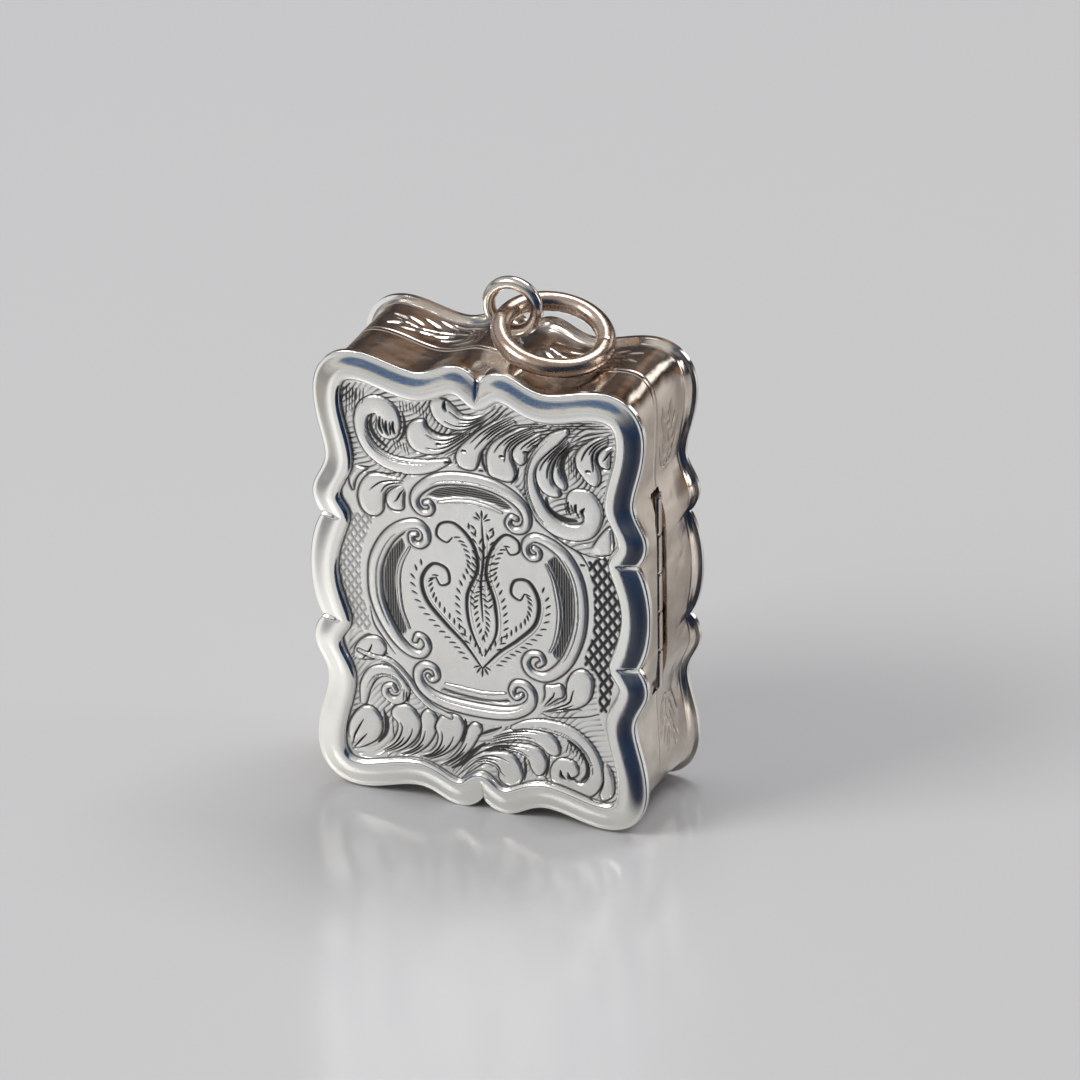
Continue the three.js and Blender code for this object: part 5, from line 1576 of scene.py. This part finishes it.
class MakeFinishes(bpy.types.Operator):
    """Makes the case's materials"""

    bl_idname = "vinaigrette.make_finishes"
    bl_label = "Finishes"

    def execute(self, context):
        colours = context.scene.vinaigrette_finish
        clean, tone = tuple(colours.silver), tuple(colours.toning)
        for name, *rest in (
            ("rim silver", clean, tone, 0.13, 0.15, False, 0.35),
            ("engraved silver", clean, tone, 0.36, 0.12, True, 0.6),
            ("toned silver", (0.74, 0.67, 0.61), tone, 0.15, 0.75, True, 0.5, 0.22),
            ("ring silver", (0.56, 0.45, 0.38), (0.34, 0.22, 0.15), 0.22, 0.9, False, 0.8),
            ("eye silver", (0.74, 0.7, 0.66), tone, 0.18, 0.6, False, 0.5),
            ("hinge silver", (0.68, 0.6, 0.53), (0.36, 0.28, 0.22), 0.2, 0.7, False, 0.5),
        ):
            FINISHES[name] = silver_finish(name, *rest)
        FINISHES["gilt"] = gilt_finish("gilt", tuple(colours.gilt))
        FINISHES["sponge"] = sponge_finish("sponge", tuple(colours.sponge))
        return {"FINISHED"}


class MakeEngravedLid(bpy.types.Operator):
    """Makes the lid's engraved plate, with its back and flange"""

    bl_idname = "vinaigrette.make_engraved_lid"
    bl_label = "Engraved lid"

    def execute(self, context):
        names = ["lid_engraving_upper", "lid_engraving_middle", "lid_engraving_lower"]
        engraved_skin(lid_design(), -1, names, "lid", "lid_plate", "engraved silver")
        plate_back("lid_plate_inside", -1, "lid")
        return {"FINISHED"}


class MakeRims(bpy.types.Operator):
    """Makes the two moulded borders"""

    bl_idname = "vinaigrette.make_rims"
    bl_label = "Moulded rims"

    def execute(self, context):
        rim("lid_border", -1, "lid", "lid_rim")
        rim("base_border", 1, "body", "base_rim")
        return {"FINISHED"}


class MakeWalls(bpy.types.Operator):
    """Makes the walls and the bezel"""

    bl_idname = "vinaigrette.make_walls"
    bl_label = "Walls"

    def execute(self, context):
        wall("lid_side_wall", -1, "lid", "lid_wall", 1, 46)
        wall("body_side_wall", 1, "body", "body_wall", 2, 60)
        bezel("bezel")
        return {"FINISHED"}


class MakeBack(bpy.types.Operator):
    """Makes the back plate"""

    bl_idname = "vinaigrette.make_back"
    bl_label = "Back plate"

    def execute(self, context):
        names = ["back_engraving_upper", "back_engraving_middle", "back_engraving_lower"]
        engraved_skin(back_design(), 1, names, "body", "base_plate", "engraved silver")
        plate_back("back_plate_inside", 1, "body")
        return {"FINISHED"}


class MakeHinge(bpy.types.Operator):
    """Makes the hinge's tubes and finishes its bearers and pin"""

    bl_idname = "vinaigrette.make_hinge"
    bl_label = "Hinge"

    def execute(self, context):
        sizes, tree = context.scene.vinaigrette_sizes, tube_tree("hinge tubes")
        tubes = (("lid", 1, ("lower", "upper")), ("body", 0, ("lower", "middle", "upper")))
        for body, first, places in tubes:
            nodes = [body + "_knuckle_" + place for place in places]
            hinge_tubes(tree, body + "_tubes", body, mm(sizes.tube_radius), first, nodes)
        bars = (("lid_hinge_bearer", "lid"), ("body_hinge_bearer", "body"), ("lid_thumb_lip", "lid"))
        for node, body in bars:
            obj = softened(node, node + "_piece", mm(sizes.hinge_rounding))
            settle(obj, body, finish("hinge silver"), [node], crease=50)
        carry_over("hinge_pin", "hinge silver")
        return {"FINISHED"}


def carry_over(node, name):
    """Gives a CAD node that stays its finish."""
    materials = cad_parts[node].data.materials
    materials.clear()
    materials.append(finish(name))


class MakeGrille(bpy.types.Operator):
    """Makes the pierced grille, its hinge and its rest"""

    bl_idname = "vinaigrette.make_grille"
    bl_label = "Grille"

    def execute(self, context):
        sizes = context.scene.vinaigrette_sizes
        grille("pierced_grille", sizes)
        for node, body in (("grille_knuckle", "grille"), ("grille_lug_lower", "body"),
                           ("grille_lug_upper", "body"), ("grille_rest", "body")):
            obj = softened(node, node + "_piece", mm(sizes.grille_rounding))
            settle(obj, body, finish("gilt"), [node], crease=50)
        carry_over("grille_pin", "gilt")
        return {"FINISHED"}


class MakeSponge(bpy.types.Operator):
    """Makes the sponge under the grille"""

    bl_idname = "vinaigrette.make_sponge"
    bl_label = "Sponge"

    def execute(self, context):
        sponge("sponge_slice", context.scene.vinaigrette_sizes)
        return {"FINISHED"}


class MakeEyeAndRing(bpy.types.Operator):
    """Makes the eye on the top wall and the ring that swings in it"""

    bl_idname = "vinaigrette.make_eye_and_ring"
    bl_label = "Eye and ring"

    def execute(self, context):
        sizes = context.scene.vinaigrette_sizes
        eye("eye", sizes)
        ring("ring", sizes)
        return {"FINISHED"}


class MakeStage(bpy.types.Operator):
    """Makes the floor, lamps, world and camera"""

    bl_idname = "vinaigrette.make_stage"
    bl_label = "Stage"

    def execute(self, context):
        stage(context.scene.vinaigrette_stage)
        return {"FINISHED"}


MAKERS = (
    MakeFinishes, MakeEngravedLid, MakeBack, MakeRims, MakeWalls, MakeHinge, MakeGrille, MakeSponge,
    MakeEyeAndRing, MakeStage,
)
SETTINGS = {
    "vinaigrette_sizes": SizeSettings,
    "vinaigrette_finish": FinishSettings,
    "vinaigrette_stage": StageSettings,
}


class VinaigrettePanel(bpy.types.Panel):
    """Lists the case's pieces and settings"""

    bl_idname = "VIEW3D_PT_vinaigrette"
    bl_label = "Vinaigrette"
    bl_space_type = "VIEW_3D"
    bl_region_type = "UI"
    bl_category = "Vinaigrette"

    def draw(self, context):
        for group in SETTINGS:
            settings = getattr(context.scene, group)
            for name in type(settings).__annotations__:
                self.layout.prop(settings, name)
        for maker in MAKERS:
            self.layout.operator(maker.bl_idname)


CLASSES = (*SETTINGS.values(), *MAKERS, VinaigrettePanel)


def register():
    for made in CLASSES:
        bpy.utils.register_class(made)
    for name, group in SETTINGS.items():
        setattr(bpy.types.Scene, name, bpy.props.PointerProperty(type=group))


def unregister():
    for name in SETTINGS:
        delattr(bpy.types.Scene, name)
    for made in reversed(CLASSES):
        bpy.utils.unregister_class(made)


def main():
    register()
    for maker in MAKERS:
        group, name = maker.bl_idname.split(".")
        getattr(getattr(bpy.ops, group), name)()


if __name__ == "__main__":
    main()
